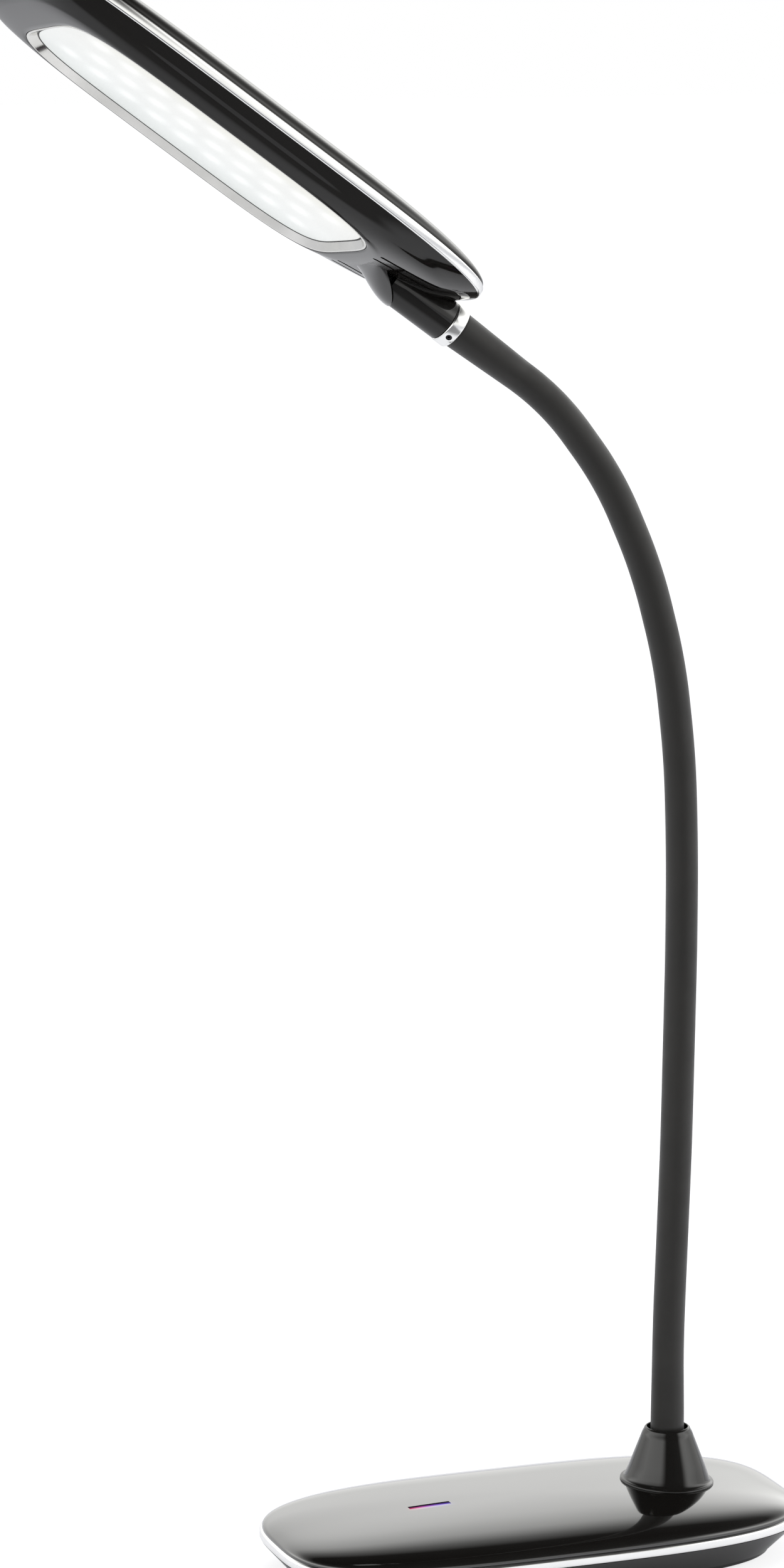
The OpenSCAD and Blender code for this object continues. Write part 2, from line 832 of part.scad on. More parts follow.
module neck_hose(i) {
    color([0.45, 0.46, 0.48])
        on_link(i)
            if (i == 0) {
                tube(hose_r, channel_r, fit, first_len - hose_gap);
            } else if (i == LINKS + 1) {
                tube(hose_r, channel_r, hose_lift, last_len + ring_len / 2 + hose_tail);
            } else {
                union() {
                    tube(hose_r, channel_r, hose_lift, cup_len);
                    arc_tube(i, hose_r, channel_r, 1 - hose_gap / arc_len(i));
                }
            }
}

// ---------------------------------------------------------------- head

// Frame of the head: origin in the middle of the chrome ring, x along the barrel into the head
module on_head() {
    translate(pivot(LINKS + 2))
        rotate([0, bend_before(LINKS + 2) - 90, 0])
            rotate([head_roll, 0, 0])
                children();
}

module along_x(x0) {
    translate([x0, 0, 0])
        rotate([0, 90, 0])
            children();
}

head_mid = head_start + head_len / 2;
window_mid = head_mid + window_fwd;
window_z = -window_drop;
band_z = window_z + flank_h;
band_top = band_z + head_trim_h;
head_a = head_len / 2;
head_b = head_wid / 2;
shell_a = head_a - head_inset;
shell_b = head_b - head_inset;
window_a = window_len / 2;
window_b = window_wid / 2;
head_power = 2.3;
head_soft = 0.45;
band_depth = 2.4;
diffuser_z = window_z + bezel_depth;
led_board_t = 1.2;
board_z = band_z - 2 * slip;
spreader_z = board_z + led_board_t;
spreader_top = spreader_z + spreader_t;
bezel_wall = 1.2;
bezel_rim = 0.6;
board_inset = 0.4;

// Screws that hold the LED board and the spreader to the upper shell
board_screw_r = 1;
board_screw_head_r = 1.9;
board_screw_head_t = 1;
board_screw_grip = 2.3;
board_screw_x = window_a - 18;
board_screw_y = window_b - 10;

module at_board_screws() {
    translate([window_mid, 0, 0])
        at_corners(board_screw_x, board_screw_y)
            children();
}

function roof_height(x, y, wall) =
    band_top + (head_rise - wall) * pow(1 - pow(reach(x - head_mid, y, shell_a - wall, shell_b - wall,
        head_square), head_power), head_soft);

ferrule_in = 0.4;

module head_ferrule() {
    color([0.55, 0.56, 0.58])
        on_head()
            along_x(0)
                tube(barrel_r - barrel_wall - fit, hose_r + fit, ferrule_in - ring_len / 2,
                    ring_len / 2 + hose_tail);
}

module head_ring() {
    color(silver)
        on_head()
            difference() {
                along_x(0)
                    tube(ring_r, barrel_r - barrel_wall, -ring_len / 2, ring_len / 2);
                rotate([180 + grub_angle, 0, 0])
                    rod(grub_r + fit, 0, ring_r + over);
            }
}

module ring_screw() {
    top = ring_r - 0.35 * grub_r;
    key_r = 0.55 * grub_r;
    color([0.1, 0.1, 0.1])
        on_head()
            rotate([180 + grub_angle, 0, 0])
                difference() {
                    rod(grub_r, barrel_r - barrel_wall, top);
                    translate([0, 0, top - key_r])
                        cylinder(r = key_r, h = key_r + over, $fn = 6);
                }
}

barrel_end = ring_len / 2 + barrel_len;
nose_x = cowl_x - 0.4;

// The barrel's outside from x0 to x1, straight to the cowl's mouth and tapered past it
module barrel_shape(grow, x0, x1) {
    along_x(0) {
        rod(barrel_r + grow, x0, nose_x + eps);
        translate([0, 0, nose_x])
            cylinder(r1 = barrel_r + grow, r2 = nose_r + grow, h = x1 - nose_x);
    }
}

module head_barrel() {
    color(black)
        on_head()
            difference() {
                barrel_shape(0, ring_len / 2 + fit, barrel_end);
                along_x(0)
                    rod(barrel_r - barrel_wall, 0, nose_x - over);
                along_x(0)
                    rod(nose_r - barrel_wall, 0, barrel_end + over);
            }
}

// Strap over the barrel's end, with an ear and a screw on each side
clamp_len = 7;
clamp_in = 1;
clamp_x = barrel_end - clamp_len - clamp_in;
clamp_y = barrel_r + 3.6;
clamp_z = 4.4;
clamp_t = 1.5;
clamp_boss_h = 2.6;
strap_r = barrel_r + 1.4;
ear_end = 3;
clamp_boss_r = 2.6;
clamp_screw_r = 1.1;
clamp_screw_head_r = 2.2;
clamp_screw_head_t = 1.2;
clamp_screw_grip = 2;

module at_clamp_screws() {
    for (sy = [-1, 1])
        translate([clamp_x + clamp_len / 2, sy * clamp_y, 0])
            children();
}

module barrel_clamp() {
    color([0.55, 0.56, 0.58])
        on_head()
            difference() {
                union() {
                    intersection() {
                        along_x(clamp_x)
                            rod(strap_r, 0, clamp_len);
                        block(clamp_x - over, clamp_x + clamp_len + over, 2 * strap_r, clamp_z,
                            strap_r + over);
                    }
                    block(clamp_x, clamp_x + clamp_len, 2 * (clamp_y + ear_end), clamp_z,
                        clamp_z + clamp_t);
                }
                along_x(clamp_x)
                    rod(barrel_r + fit, -over, clamp_len + over);
                at_clamp_screws()
                    rod(clamp_screw_r + fit, 0, clamp_z + clamp_t + over);
            }
}

module clamp_screws() {
    color([0.6, 0.6, 0.62])
        on_head()
            at_clamp_screws()
                translate([0, 0, clamp_z + clamp_t + clamp_screw_head_t])
                    rotate([180, 0, 0])
                        screw(clamp_screw_r, clamp_screw_head_r, clamp_screw_head_t,
                            clamp_screw_head_t + clamp_t + clamp_screw_grip);
}

module head_loft(rings) {
    translate([head_mid, 0, 0])
        loft(rings, head_square);
}

cowl_r = barrel_r + fit + cowl_wall;
cowl_power = 1.35;

function flank_z(share) = window_z + share * flank_h;

// Bullet about the barrel's axis, from the mouth of the cowl forwards
module bullet(r, length) {
    along_x(cowl_x)
        rotate_extrude()
            polygon(concat([[0, 0]],
                [for (u = [0:1 / 16:1]) [r * (1 - pow(u, cowl_power)), length * u]]));
}

module cowl() {
    tongue_x = cowl_x + tongue_len;
    intersection() {
        bullet(cowl_r, cowl_len);
        translate([0, 0, -cowl_r - over])
            linear_extrude(height = cowl_r + over)
                polygon(concat([[tongue_x + cowl_len, -tongue_wid / 2]],
                    [for (a = [-90:6:90]) [tongue_x - tongue_len * cos(a), tongue_wid / 2 * sin(a)]],
                    [[tongue_x + cowl_len, tongue_wid / 2]]));
    }
}

// Sections of the lower shell, from its flat underside out to the trim
flat_a = window_a + window_fwd + 9;
flat_b = window_b + 1.2;
flat_edge = 2;
flat_lead = 5;
knee_a = shell_a - 8;
knee_b = flat_b + 2.2;
brow_in_a = 2;
brow_in_b = 1.1;
tail_flat = window_a - window_fwd + 1.1;
tail_lead = 6.5;
tail_knee = shell_a - 13.4;
tail_brow = shell_a - 4.9;
lower_rings = [
    oval(flat_a - flat_edge, tail_flat, flat_b - flat_edge, window_z),
    oval(flat_a + flat_lead, tail_flat + tail_lead, flat_b, flank_z(0.07)),
    oval(knee_a, tail_knee, knee_b, flank_z(0.37)),
    oval(shell_a - brow_in_a, tail_brow, shell_b - brow_in_b, flank_z(0.67)),
    oval(shell_a, shell_a, shell_b, band_z)];
lower_cavity_rings = [
    oval(flat_a - head_wall, tail_flat - head_wall, flat_b - head_wall, window_z + head_wall),
    oval(knee_a - head_wall, tail_knee - 3.5 * head_wall, knee_b - head_wall, flank_z(0.5)),
    oval(shell_a - head_wall, shell_a - head_wall, shell_b - head_wall, band_z + eps),
    oval(shell_a - head_wall, shell_a - head_wall, shell_b - head_wall, band_z + over)];

// Openings over the barrel: a narrow one behind, a wide one for the clamp and the wires
notch_wid = 3.2;
notch_z = barrel_r - 0.3;
bay_x = 9;
bay_in = 2;
bay_z = 3;
bay_wid = 2 * (barrel_r - 1);
vent_gap = 4.6;
vent_end = window_mid - window_a - vent_gap;

module vents() {
    for (sy = [-1, 1])
        for (k = [0, 1])
            translate([0, sy * (vent_in + k * vent_step), 0])
                block(vent_end - vent_len, vent_end, vent_wid, window_z - over, band_z - over);
}

module head_lower_shell() {
    color(black)
        on_head()
            difference() {
                union() {
                    difference() {
                        head_loft(lower_rings);
                        head_loft(lower_cavity_rings);
                    }
                    cowl();
                    at_clamp_screws()
                        rod(clamp_boss_r, clamp_z - clamp_boss_h, clamp_z);
                }
                translate([window_mid, 0, 0])
                    plate(window_a + fit, window_b + fit, window_square, window_z - over, band_z);
                barrel_shape(fit, 0, barrel_end + slip);
                bullet(cowl_r - cowl_wall, cowl_len - cowl_wall);
                block(0, cowl_x, notch_wid, notch_z, band_z + over);
                block(bay_x, cowl_x + cowl_len - bay_in, bay_wid, bay_z, band_z + over);
                at_clamp_screws()
                    rod(clamp_screw_r + fit, clamp_z - clamp_screw_grip - slip, clamp_z + over);
                vents();
            }
}

module head_trim() {
    color(silver)
        on_head()
            translate([head_mid, 0, 0])
                difference() {
                    plate(head_a, head_b, head_square, band_z, band_top);
                    plate(head_a - band_depth, head_b - band_depth, head_square, band_z - over,
                        band_top + over);
                }
}

module head_upper_shell() {
    color(black)
        on_head()
            difference() {
                union() {
                    difference() {
                        head_loft(dome_rings(shell_a, shell_b, band_top, head_rise, head_power,
                            head_soft, 12));
                        head_loft(concat([[shell_a - head_wall, shell_b - head_wall, band_top - over, 0]],
                            dome_rings(shell_a - head_wall, shell_b - head_wall, band_top,
                                head_rise - head_wall, head_power, head_soft, 9)));
                    }
                    at_board_screws()
                        rod(post_r, spreader_top, root + roof_height(window_mid + board_screw_x,
                            board_screw_y, head_wall));
                }
                at_board_screws()
                    rod(board_screw_r + fit, spreader_top - over, spreader_top + board_screw_grip + slip);
            }
}

module led_bezel() {
    rim_a = window_a - bezel_rim;
    rim_b = window_b - bezel_rim;
    inner_a = window_a - bezel_run;
    inner_b = window_b - bezel_run;
    color(silver)
        on_head()
            translate([window_mid, 0, 0])
                difference() {
                    plate(window_a, window_b, window_square, window_z, board_z);
                    loft([[rim_a + over, rim_b + over, window_z - over, 0],
                        [rim_a, rim_b, window_z, 0],
                        [inner_a, inner_b, diffuser_z, 0],
                        [inner_a, inner_b, diffuser_z + over, 0]], window_square);
                    plate(window_a - bezel_wall, window_b - bezel_wall, window_square, diffuser_z,
                        board_z + over);
                }
}

module diffuser() {
    color([1, 1, 0.97])
        on_head()
            translate([window_mid, 0, 0])
                plate(window_a - bezel_wall - slip, window_b - bezel_wall - slip, window_square,
                    diffuser_z, diffuser_z + diffuser_t);
}

module board_outline(z0, z1) {
    translate([window_mid, 0, 0])
        plate(window_a - board_inset, window_b - board_inset, window_square, z0, z1);
}

module led_board() {
    color([0.92, 0.92, 0.9])
        on_head()
            difference() {
                board_outline(board_z, spreader_z);
                at_board_screws()
                    rod(board_screw_r + slip, board_z - over, spreader_z + over);
            }
}

rows = [9, 8, 9];
led = [2.8, 3.5, 0.8];

module leds() {
    color([1, 0.95, 0.75])
        on_head()
            for (row = [0:2])
                for (k = [0:rows[row] - 1])
                    translate([window_mid + (k - (rows[row] - 1) / 2) * led_pitch,
                        (row - 1) * row_pitch, 0])
                        block(-led[0] / 2, led[0] / 2, led[1], board_z - led[2], board_z);
}

module heat_spreader() {
    color([0.75, 0.76, 0.78])
        on_head()
            difference() {
                board_outline(spreader_z, spreader_top);
                at_board_screws()
                    rod(board_screw_r + slip, spreader_z - over, spreader_top + over);
            }
}

module board_screws() {
    color([0.6, 0.6, 0.62])
        on_head()
            at_board_screws()
                translate([0, 0, board_z - board_screw_head_t])
                    screw(board_screw_r, board_screw_head_r, board_screw_head_t,
                        board_screw_head_t + spreader_top - board_z + board_screw_grip);
}

// The two wires from the neck, up past the barrel's end and forward over the heat spreader
module head_wires() {
    pair_y = 0.9;
    start_x = ring_len / 2 + hose_tail + 1;
    rise_x = barrel_end + 2;
    run_z = spreader_top + 2;
    end_x = window_mid - window_a + 8;
    color([0.7, 0.1, 0.1])
        on_head()
            for (y = [-pair_y, pair_y])
                wire([[start_x, y, 0], [rise_x, y, 0], [rise_x, y, run_z], [end_x, y, run_z],
                    [end_x, y, spreader_top + wire_r * bend_ease]], wire_r);
}

base_top_shell();
base_trim();
base_lower_shell();
ballast_plate();
base_feet();
base_screws();
touch_lens();
touch_board();
touch_leds();
touch_screws();
driver_board();
power_inlet();
base_wires();
neck_collar();
neck_ferrule();
neck_washer();
neck_nut();
for (i = [0:LINKS + 1]) {
    neck_hose(i);
    neck_sleeve(i);
}
head_ferrule();
head_ring();
ring_screw();
head_barrel();
barrel_clamp();
clamp_screws();
head_lower_shell();
head_trim();
head_upper_shell();
led_bezel();
diffuser();
led_board();
leds();
heat_spreader();
board_screws();
head_wires();
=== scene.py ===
import bpy
import json
import math
from mathutils import Matrix, Vector


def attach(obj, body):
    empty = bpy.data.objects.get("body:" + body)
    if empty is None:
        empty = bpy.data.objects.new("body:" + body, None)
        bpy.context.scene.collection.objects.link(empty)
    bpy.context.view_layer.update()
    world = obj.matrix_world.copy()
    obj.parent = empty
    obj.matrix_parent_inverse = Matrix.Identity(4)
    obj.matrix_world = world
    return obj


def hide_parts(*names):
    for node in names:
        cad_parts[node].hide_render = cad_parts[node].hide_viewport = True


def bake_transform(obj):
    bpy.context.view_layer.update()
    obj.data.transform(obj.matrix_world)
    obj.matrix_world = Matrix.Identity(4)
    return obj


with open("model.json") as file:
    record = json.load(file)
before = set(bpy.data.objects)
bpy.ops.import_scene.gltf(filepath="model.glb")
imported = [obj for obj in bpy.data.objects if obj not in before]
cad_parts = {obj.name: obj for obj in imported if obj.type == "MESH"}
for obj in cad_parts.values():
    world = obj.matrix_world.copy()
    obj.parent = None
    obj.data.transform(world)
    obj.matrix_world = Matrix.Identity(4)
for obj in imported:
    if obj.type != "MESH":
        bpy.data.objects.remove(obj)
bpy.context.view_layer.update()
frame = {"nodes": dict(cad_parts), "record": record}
nodes = frame["nodes"]
MM = 0.001

# Sizes and places in millimetres, as in the part's source where it has them. The cowl's shape is the scene's.
# _A and _B are half a length and half a width, _SQUARE is how square an outline's corners are, and _POWER and
# _SOFT shape a dome's fall towards its rim.
GAP = 0.05
BASE_A, BASE_B, BASE_SQUARE = 94.0, 47.0, 3.3
LOWER_Z, TRIM_Z, DOME_Z = 1.0, 13.0, 16.6
DOME_A, DOME_B, DOME_RISE, DOME_POWER, DOME_SOFT = 93.2, 46.2, 8.2, 2.2, 0.42
RIM_A, RIM_B, BASE_WALL = 91.0, 44.0, 2.2
FOOT_A, FOOT_B, TRAY_FLARE, TRAY_FLOOR = 84.0, 37.0, 0.4, 2.4
PAD_LEN, PAD_WID = 50.0, 20.0
FEET_X, FEET_Y, FEET_R, FEET_SINK = 63, 16, 6.0, 0.6
SCREW_X, SCREW_Y, SCREW_R, SCREW_SINK = 46, 21, 2.9, 1.3
INLET_R, INLET_Z = 3.3, 7.4
SLIT_X, SLIT_LEN, SLIT_WID = 37.6, 15.0, 2.6
NECK_X, NECK_Z, STEM_HOLE = -50.5, 26.627, 4.85
COLLAR_H, COLLAR_TOP, COLLAR_BASE, COLLAR_HOLE, SKIRT = 19.4, 8.0, 15.4, 7.1, 0.9

# The neck: its lengths from the base up, how far each bends forwards in degrees, and the straight run in
# each one's cup
LENGTHS = [30.0] + [33.5] * 11 + [32.0]
BENDS = [0, -2, 0, 1, 0, 1, 2, 5, 8, 9, 13, 17, 0]
CUP = 6.5
SLEEVE_R, SLEEVE_LOW, SLEEVE_TOP = 5.5, 5.8, 6.4
TAPER_FROM, TAPER_LEN, WIDEN_FROM = 16.0, 30.0, 2.4

# The head: X runs forwards along the barrel's axis from the middle of the ring, and Z is up
HEAD_ROLL = 6.0
RING_R, RING_LEN, RING_BORE, GRUB_R, GRUB_TURN = 7.4, 4.6, 5.6, 1.08, 225
BARREL_R, BARREL_LEN, BARREL_BORE, NOSE_R, NOSE_BORE, NOSE_BACK = 7.15, 24.0, 5.5, 5.9, 4.3, 0.4
COWL_X, COWL_END, COWL_WALL, COWL_DEPTH, COWL_POWER, COWL_SINK = 21.6, 36.2, 0.5, 8.3, 1.7, 0.4
MOUTH_LEN, MOUTH_WID, CREASE_WID = 13.0, 8.7, 8.5
HEAD_LEN, HEAD_WID, HEAD_SQUARE, HEAD_START = 197.0, 79.0, 4.2, 2.6
HEAD_RISE, HEAD_POWER, HEAD_SOFT, HEAD_WALL, HEAD_INSET = 8.6, 2.3, 0.45, 1.8, 0.5
WINDOW_Z, BAND_Z, BAND_TOP = -1.9, 7.3, 10.5
WINDOW_A, WINDOW_B, WINDOW_SQUARE, WINDOW_FWD, WINDOW_LIP = 62.0, 34.0, 4.6, 5.5, 0.4
FLAT_FRONT, FLAT_REAR, FLAT_B, FLAT_RISE, TAIL_SLOPE = 81.5, 64.1, 35.2, 0.64, 0.134
BEZEL_DEPTH, BEZEL_RUN, BEZEL_TOP, BEZEL_WALL, BEZEL_LEDGE = 2.4, 2.4, 8.6, 1.2, 0.5
LED_PITCH, ROW_PITCH, LED_ROWS = 11.8, 14.5, ((-1, 9), (0, 8), (1, 9))
VENT_LEN, VENT_WID, VENT_IN, VENT_STEP, VENT_GAP = 23.0, 1.6, 14.8, 5.7, 4.6

HEAD_A, HEAD_B = HEAD_LEN / 2, HEAD_WID / 2
HEAD_MID = HEAD_START + HEAD_A
SHELL_A, SHELL_B = HEAD_A - HEAD_INSET, HEAD_B - HEAD_INSET
WINDOW_MID = HEAD_MID + WINDOW_FWD
TAIL_X = HEAD_MID - FLAT_REAR
BARREL_END, NOSE_X = RING_LEN / 2 + BARREL_LEN, COWL_X - NOSE_BACK

# Points around a large outline, a round piece, a finer round piece and the sleeve, and steps along each of
# the neck's lengths
AROUND, ROUND, FINE_ROUND, SLEEVE_ROUND, LINE_STEPS = 240, 96, 128, 64, 40


# ---------------------------------------------------------------- outlines

def outline(a, b, n, count):
    """Points evenly spaced along a superellipse."""
    fine = 4096
    dense = []
    for i in range(fine):
        t = 2 * math.pi * i / fine
        c, s = math.cos(t), math.sin(t)
        r = (abs(c / a) ** n + abs(s / b) ** n) ** (-1 / n)
        dense.append((r * c, r * s))
    total, marks = 0.0, [0.0]
    for i in range(fine):
        p, q = dense[i], dense[(i + 1) % fine]
        total += math.hypot(q[0] - p[0], q[1] - p[1])
        marks.append(total)
    out, k = [], 0
    for i in range(count):
        want = total * i / count
        while marks[k + 1] < want:
            k += 1
        f = (want - marks[k]) / (marks[k + 1] - marks[k])
        p, q = dense[k], dense[(k + 1) % fine]
        out.append((p[0] + f * (q[0] - p[0]), p[1] + f * (q[1] - p[1])))
    return out


UNIT_TURNS = {}


def unit_turns(n, count):
    """Turns around a superellipse. Rings of one squareness share them, so that their corners line up."""
    key = (n, count)
    if key not in UNIT_TURNS:
        long, short = 90.0, 40.0
        UNIT_TURNS[key] = [math.atan2(y / short, x / long) for x, y in outline(long, short, n, count)]
    return UNIT_TURNS[key]


def ring(a, b, z, n, count=AROUND, cx=0.0):
    """A superellipse ring at a height."""
    pts = []
    for t in unit_turns(n, count):
        c, s = math.cos(t), math.sin(t)
        r = (abs(c) ** n + abs(s) ** n) ** (-1 / n)
        pts.append((cx + a * r * c, b * r * s, z))
    return pts


def window_ring(grow_a, grow_b, z):
    """A ring along the window's edge, larger or smaller than it."""
    return ring(WINDOW_A + grow_a, WINDOW_B + grow_b, z, WINDOW_SQUARE, cx=WINDOW_MID)


def circle(r, z, count, cx=0.0, cy=0.0):
    return [(cx + r * math.cos(2 * math.pi * i / count), cy + r * math.sin(2 * math.pi * i / count), z)
            for i in range(count)]


def dome_height(x, y):
    """Height of the base's top above the table."""
    s = ((abs(x) / DOME_A) ** BASE_SQUARE + (abs(y) / DOME_B) ** BASE_SQUARE) ** (1 / BASE_SQUARE)
    return DOME_Z + DOME_RISE * max(0.0, 1 - s ** DOME_POWER) ** DOME_SOFT


def dome_rings(a, b, z, rise, power, soft, n, cx=0.0, steps=44):
    """Rings from a dome's rim to just short of its top, which is at 90 degrees."""
    rings, last = [], 89.2
    for i in range(steps + 1):
        t = math.radians(last * i / steps)
        s = math.cos(t) ** (2 / power)
        rings.append(ring(a * s, b * s, z + rise * math.sin(t) ** (2 * soft), n, cx=cx))
    return rings


def shell_rings(profile, n):
    """Rings of the head from (reach to the front, reach to the rear, half width, height, rear squareness)."""
    turn_in = 1.6  # how early an outline takes on its rear squareness
    rings = []
    for front, rear, b, z, n_rear in profile:
        a, cx = (front + rear) / 2, HEAD_MID + (front - rear) / 2
        pts = []
        for t in unit_turns(n, AROUND):
            c, s = math.cos(t), math.sin(t)
            back = min(1.0, max(0.0, -c * turn_in))
            m = n + (n_rear - n) * back * back * (3 - 2 * back)
            r = (abs(c) ** m + abs(s) ** m) ** (-1 / m)
            pts.append((cx + a * r * c, b * r * s, z))
        rings.append(pts)
    return rings


def curve(points, steps):
    """A smooth line through points, each a tuple of numbers."""
    out = []
    for k in range(len(points) - 1):
        p0 = points[max(0, k - 1)]
        p1, p2 = points[k], points[k + 1]
        p3 = points[min(len(points) - 1, k + 2)]
        for i in range(steps):
            t = i / steps
            row = []
            for u0, u1, u2, u3 in zip(p0, p1, p2, p3):
                row.append(0.5 * ((2 * u1) + (-u0 + u2) * t + (2 * u0 - 5 * u1 + 4 * u2 - u3) * t * t
                                  + (-u0 + 3 * u1 - 3 * u2 + u3) * t ** 3))
            out.append(tuple(row))
    out.append(tuple(points[-1]))
    return out


def soft_corner(start, end, pull, steps):
    """Points of a rounded corner from start to end, drawn towards the point pull."""
    (ax, ay), (bx, by), (cx, cy) = start, end, pull
    out = []
    for k in range(steps + 1):
        t = k / steps
        u, v, w = (1 - t) ** 2, 2 * t * (1 - t), t * t
        out.append((u * ax + v * cx + w * bx, u * ay + v * cy + w * by))
    return out


# ---------------------------------------------------------------- meshes

def mesh_piece(name, verts, faces, body, replaced=(), material=None, slot=None, matrix=None, sharp=35):
    """A shown piece, given in millimetres. Edges over the angle sharp stay crisp."""
    mesh = bpy.data.meshes.new(name)
    matrix = matrix or Matrix.Identity(4)
    mesh.from_pydata([(matrix @ Vector(v)) * MM for v in verts], [], faces)
    mesh.validate()
    piece = bpy.data.objects.new(name, mesh)
    bpy.context.scene.collection.objects.link(piece)
    finish_mesh(piece, sharp)
    if material:
        mesh.materials.append(material)
    if body:
        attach(piece, body)
    if replaced:
        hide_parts(*replaced)
    return piece


def finish_mesh(piece, sharp):
    piece.data.polygons.foreach_set("use_smooth", [True] * len(piece.data.polygons))
    piece.data.set_sharp_from_angle(angle=math.radians(sharp))
    piece.data.update()


def apply_modifiers(piece, sharp):
    bpy.context.view_layer.update()
    deps = bpy.context.evaluated_depsgraph_get()
    mesh = bpy.data.meshes.new_from_object(piece.evaluated_get(deps))
    piece.modifiers.clear()
    old = piece.data
    piece.data = mesh
    bpy.data.meshes.remove(old)
    finish_mesh(piece, sharp)


def skin(rings, start_cap=False, end_cap=False, loop=False):
    """Quads between rings of equal length; caps are fans about the ring's middle."""
    count = len(rings[0])
    verts = [p for r in rings for p in r]
    faces = []
    last = len(rings) if loop else len(rings) - 1
    for k in range(last):
        low, high = k * count, ((k + 1) % len(rings)) * count
        for i in range(count):
            j = (i + 1) % count
            faces.append((low + i, low + j, high + j, high + i))
    for cap, row in ((start_cap, 0), (end_cap, len(rings) - 1)):
        if cap:
            pts = rings[row]
            verts.append(tuple(sum(p[k] for p in pts) / count for k in range(3)))
            mid = len(verts) - 1
            for i in range(count):
                j = (i + 1) % count
                a, b = row * count + i, row * count + j
                faces.append((b, a, mid) if row == 0 else (a, b, mid))
    return verts, faces


def domed_shell(outer, inner, cx, top, wall):
    """Two nested domes joined at their rims, each closed by a fan at its top."""
    verts, faces = skin(list(reversed(inner)) + outer)
    count = len(outer[0])
    last = (len(inner) + len(outer) - 1) * count
    verts += [(cx, 0.0, top - wall), (cx, 0.0, top)]
    under, over = len(verts) - 2, len(verts) - 1
    for i in range(count):
        j = (i + 1) % count
        faces.append((j, i, under))
        faces.append((last + i, last + j, over))
    return verts, faces


def box_mesh(low, high):
    verts = [(x, y, z) for x in (low[0], high[0]) for y in (low[1], high[1]) for z in (low[2], high[2])]
    faces = [(0, 1, 3, 2), (4, 6, 7, 5), (0, 4, 5, 1), (2, 3, 7, 6), (0, 2, 6, 4), (1, 5, 7, 3)]
    return verts, faces


def slot_mesh(length, width, z0, z1, cx, cy, count=12):
    """A box with round ends along X."""
    pts = []
    for side in (0, 1):
        for k in range(count + 1):
            t = math.radians(-90 + 180 * k / count + 180 * side)
            off = (length - width) / 2 * (1 if side == 0 else -1)
            pts.append((cx + off + width / 2 * math.cos(t), cy + width / 2 * math.sin(t)))
    return skin([[(x, y, z0) for x, y in pts], [(x, y, z1) for x, y in pts]], True, True)


def rod_mesh(r, z0, z1, cx=0.0, cy=0.0, count=48):
    return skin([circle(r, z0, count, cx, cy), circle(r, z1, count, cx, cy)], True, True)


def lathe_x(profile, count=ROUND):
    """Rings about the X axis from (x, r) pairs."""
    return [[(x, r * math.cos(2 * math.pi * i / count), r * math.sin(2 * math.pi * i / count))
             for i in range(count)] for x, r in profile]


def cut(piece, tools, sharp=35):
    """Cuts each (verts, faces, matrix) tool from the piece."""
    made = []
    for verts, faces, matrix in tools:
        tool = mesh_piece("tool", verts, faces, None, matrix=matrix)
        mod = piece.modifiers.new("cut", "BOOLEAN")
        mod.operation = "DIFFERENCE"
        mod.solver = "EXACT"
        mod.object = tool
        made.append(tool)
    apply_modifiers(piece, sharp)
    for tool in made:
        bpy.data.objects.remove(tool)


# ---------------------------------------------------------------- shader nodes

def new_material(name):
    mat = bpy.data.materials.new(name)
    mat.use_nodes = True
    tree = mat.node_tree
    return mat, tree, tree.nodes["Principled BSDF"]


def calc(tree, operation, *values):
    """One Math node; each value is a number or another node's output."""
    node = tree.nodes.new("ShaderNodeMath")
    node.operation = operation
    for socket, value in zip(node.inputs, values):
        if isinstance(value, (int, float)):
            socket.default_value = value
        else:
            tree.links.new(value, socket)
    return node.outputs[0]


def object_place(tree):
    return tree.nodes.new("ShaderNodeTexCoord").outputs["Object"]


def axes(tree, vector):
    """The X, Y and Z of a vector, by name."""
    node = tree.nodes.new("ShaderNodeSeparateXYZ")
    tree.links.new(vector, node.inputs["Vector"])
    return node.outputs


def noise(tree, scale, detail=3.0, rough=0.5, coords=None, stretch=None):
    tex = tree.nodes.new("ShaderNodeTexNoise")
    tex.inputs["Scale"].default_value = scale
    tex.inputs["Detail"].default_value = detail
    tex.inputs["Roughness"].default_value = rough
    if coords is None:
        coords = object_place(tree)
    if stretch:
        mapping = tree.nodes.new("ShaderNodeMapping")
        mapping.inputs["Scale"].default_value = stretch
        tree.links.new(coords, mapping.inputs["Vector"])
        coords = mapping.outputs["Vector"]
    tree.links.new(coords, tex.inputs["Vector"])
    return tex.outputs["Fac"]


def map_range(tree, value, source, target=(0.0, 1.0), smooth=False):
    node = tree.nodes.new("ShaderNodeMapRange")
    if smooth:
        node.interpolation_type = "SMOOTHSTEP"
    node.inputs["From Min"].default_value, node.inputs["From Max"].default_value = source
    node.inputs["To Min"].default_value, node.inputs["To Max"].default_value = target
    tree.links.new(value, node.inputs["Value"])
    return node.outputs["Result"]


def colour_ramp(tree, value, stops):
    """Colours by value, from (value, (red, green, blue)) pairs in rising order."""
    node = tree.nodes.new("ShaderNodeValToRGB")
    elements = node.color_ramp.elements
    for element, (place, colour) in ((elements[0], stops[0]), (elements[1], stops[-1])):
        element.position, element.color = place, (*colour, 1)
    for place, colour in stops[1:-1]:
        elements.new(place).color = (*colour, 1)
    tree.links.new(value, node.inputs["Fac"])
    return node.outputs["Color"]


NOISE_SPAN = (0.3, 0.7)  # where most of a noise texture's values lie


def tint(tree, value, first, second, shader):
    """The shader's base colour drifts between two colours."""
    stops = [(NOISE_SPAN[0], first), (NOISE_SPAN[1], second)]
    tree.links.new(colour_ramp(tree, value, stops), shader.inputs["Base Color"])


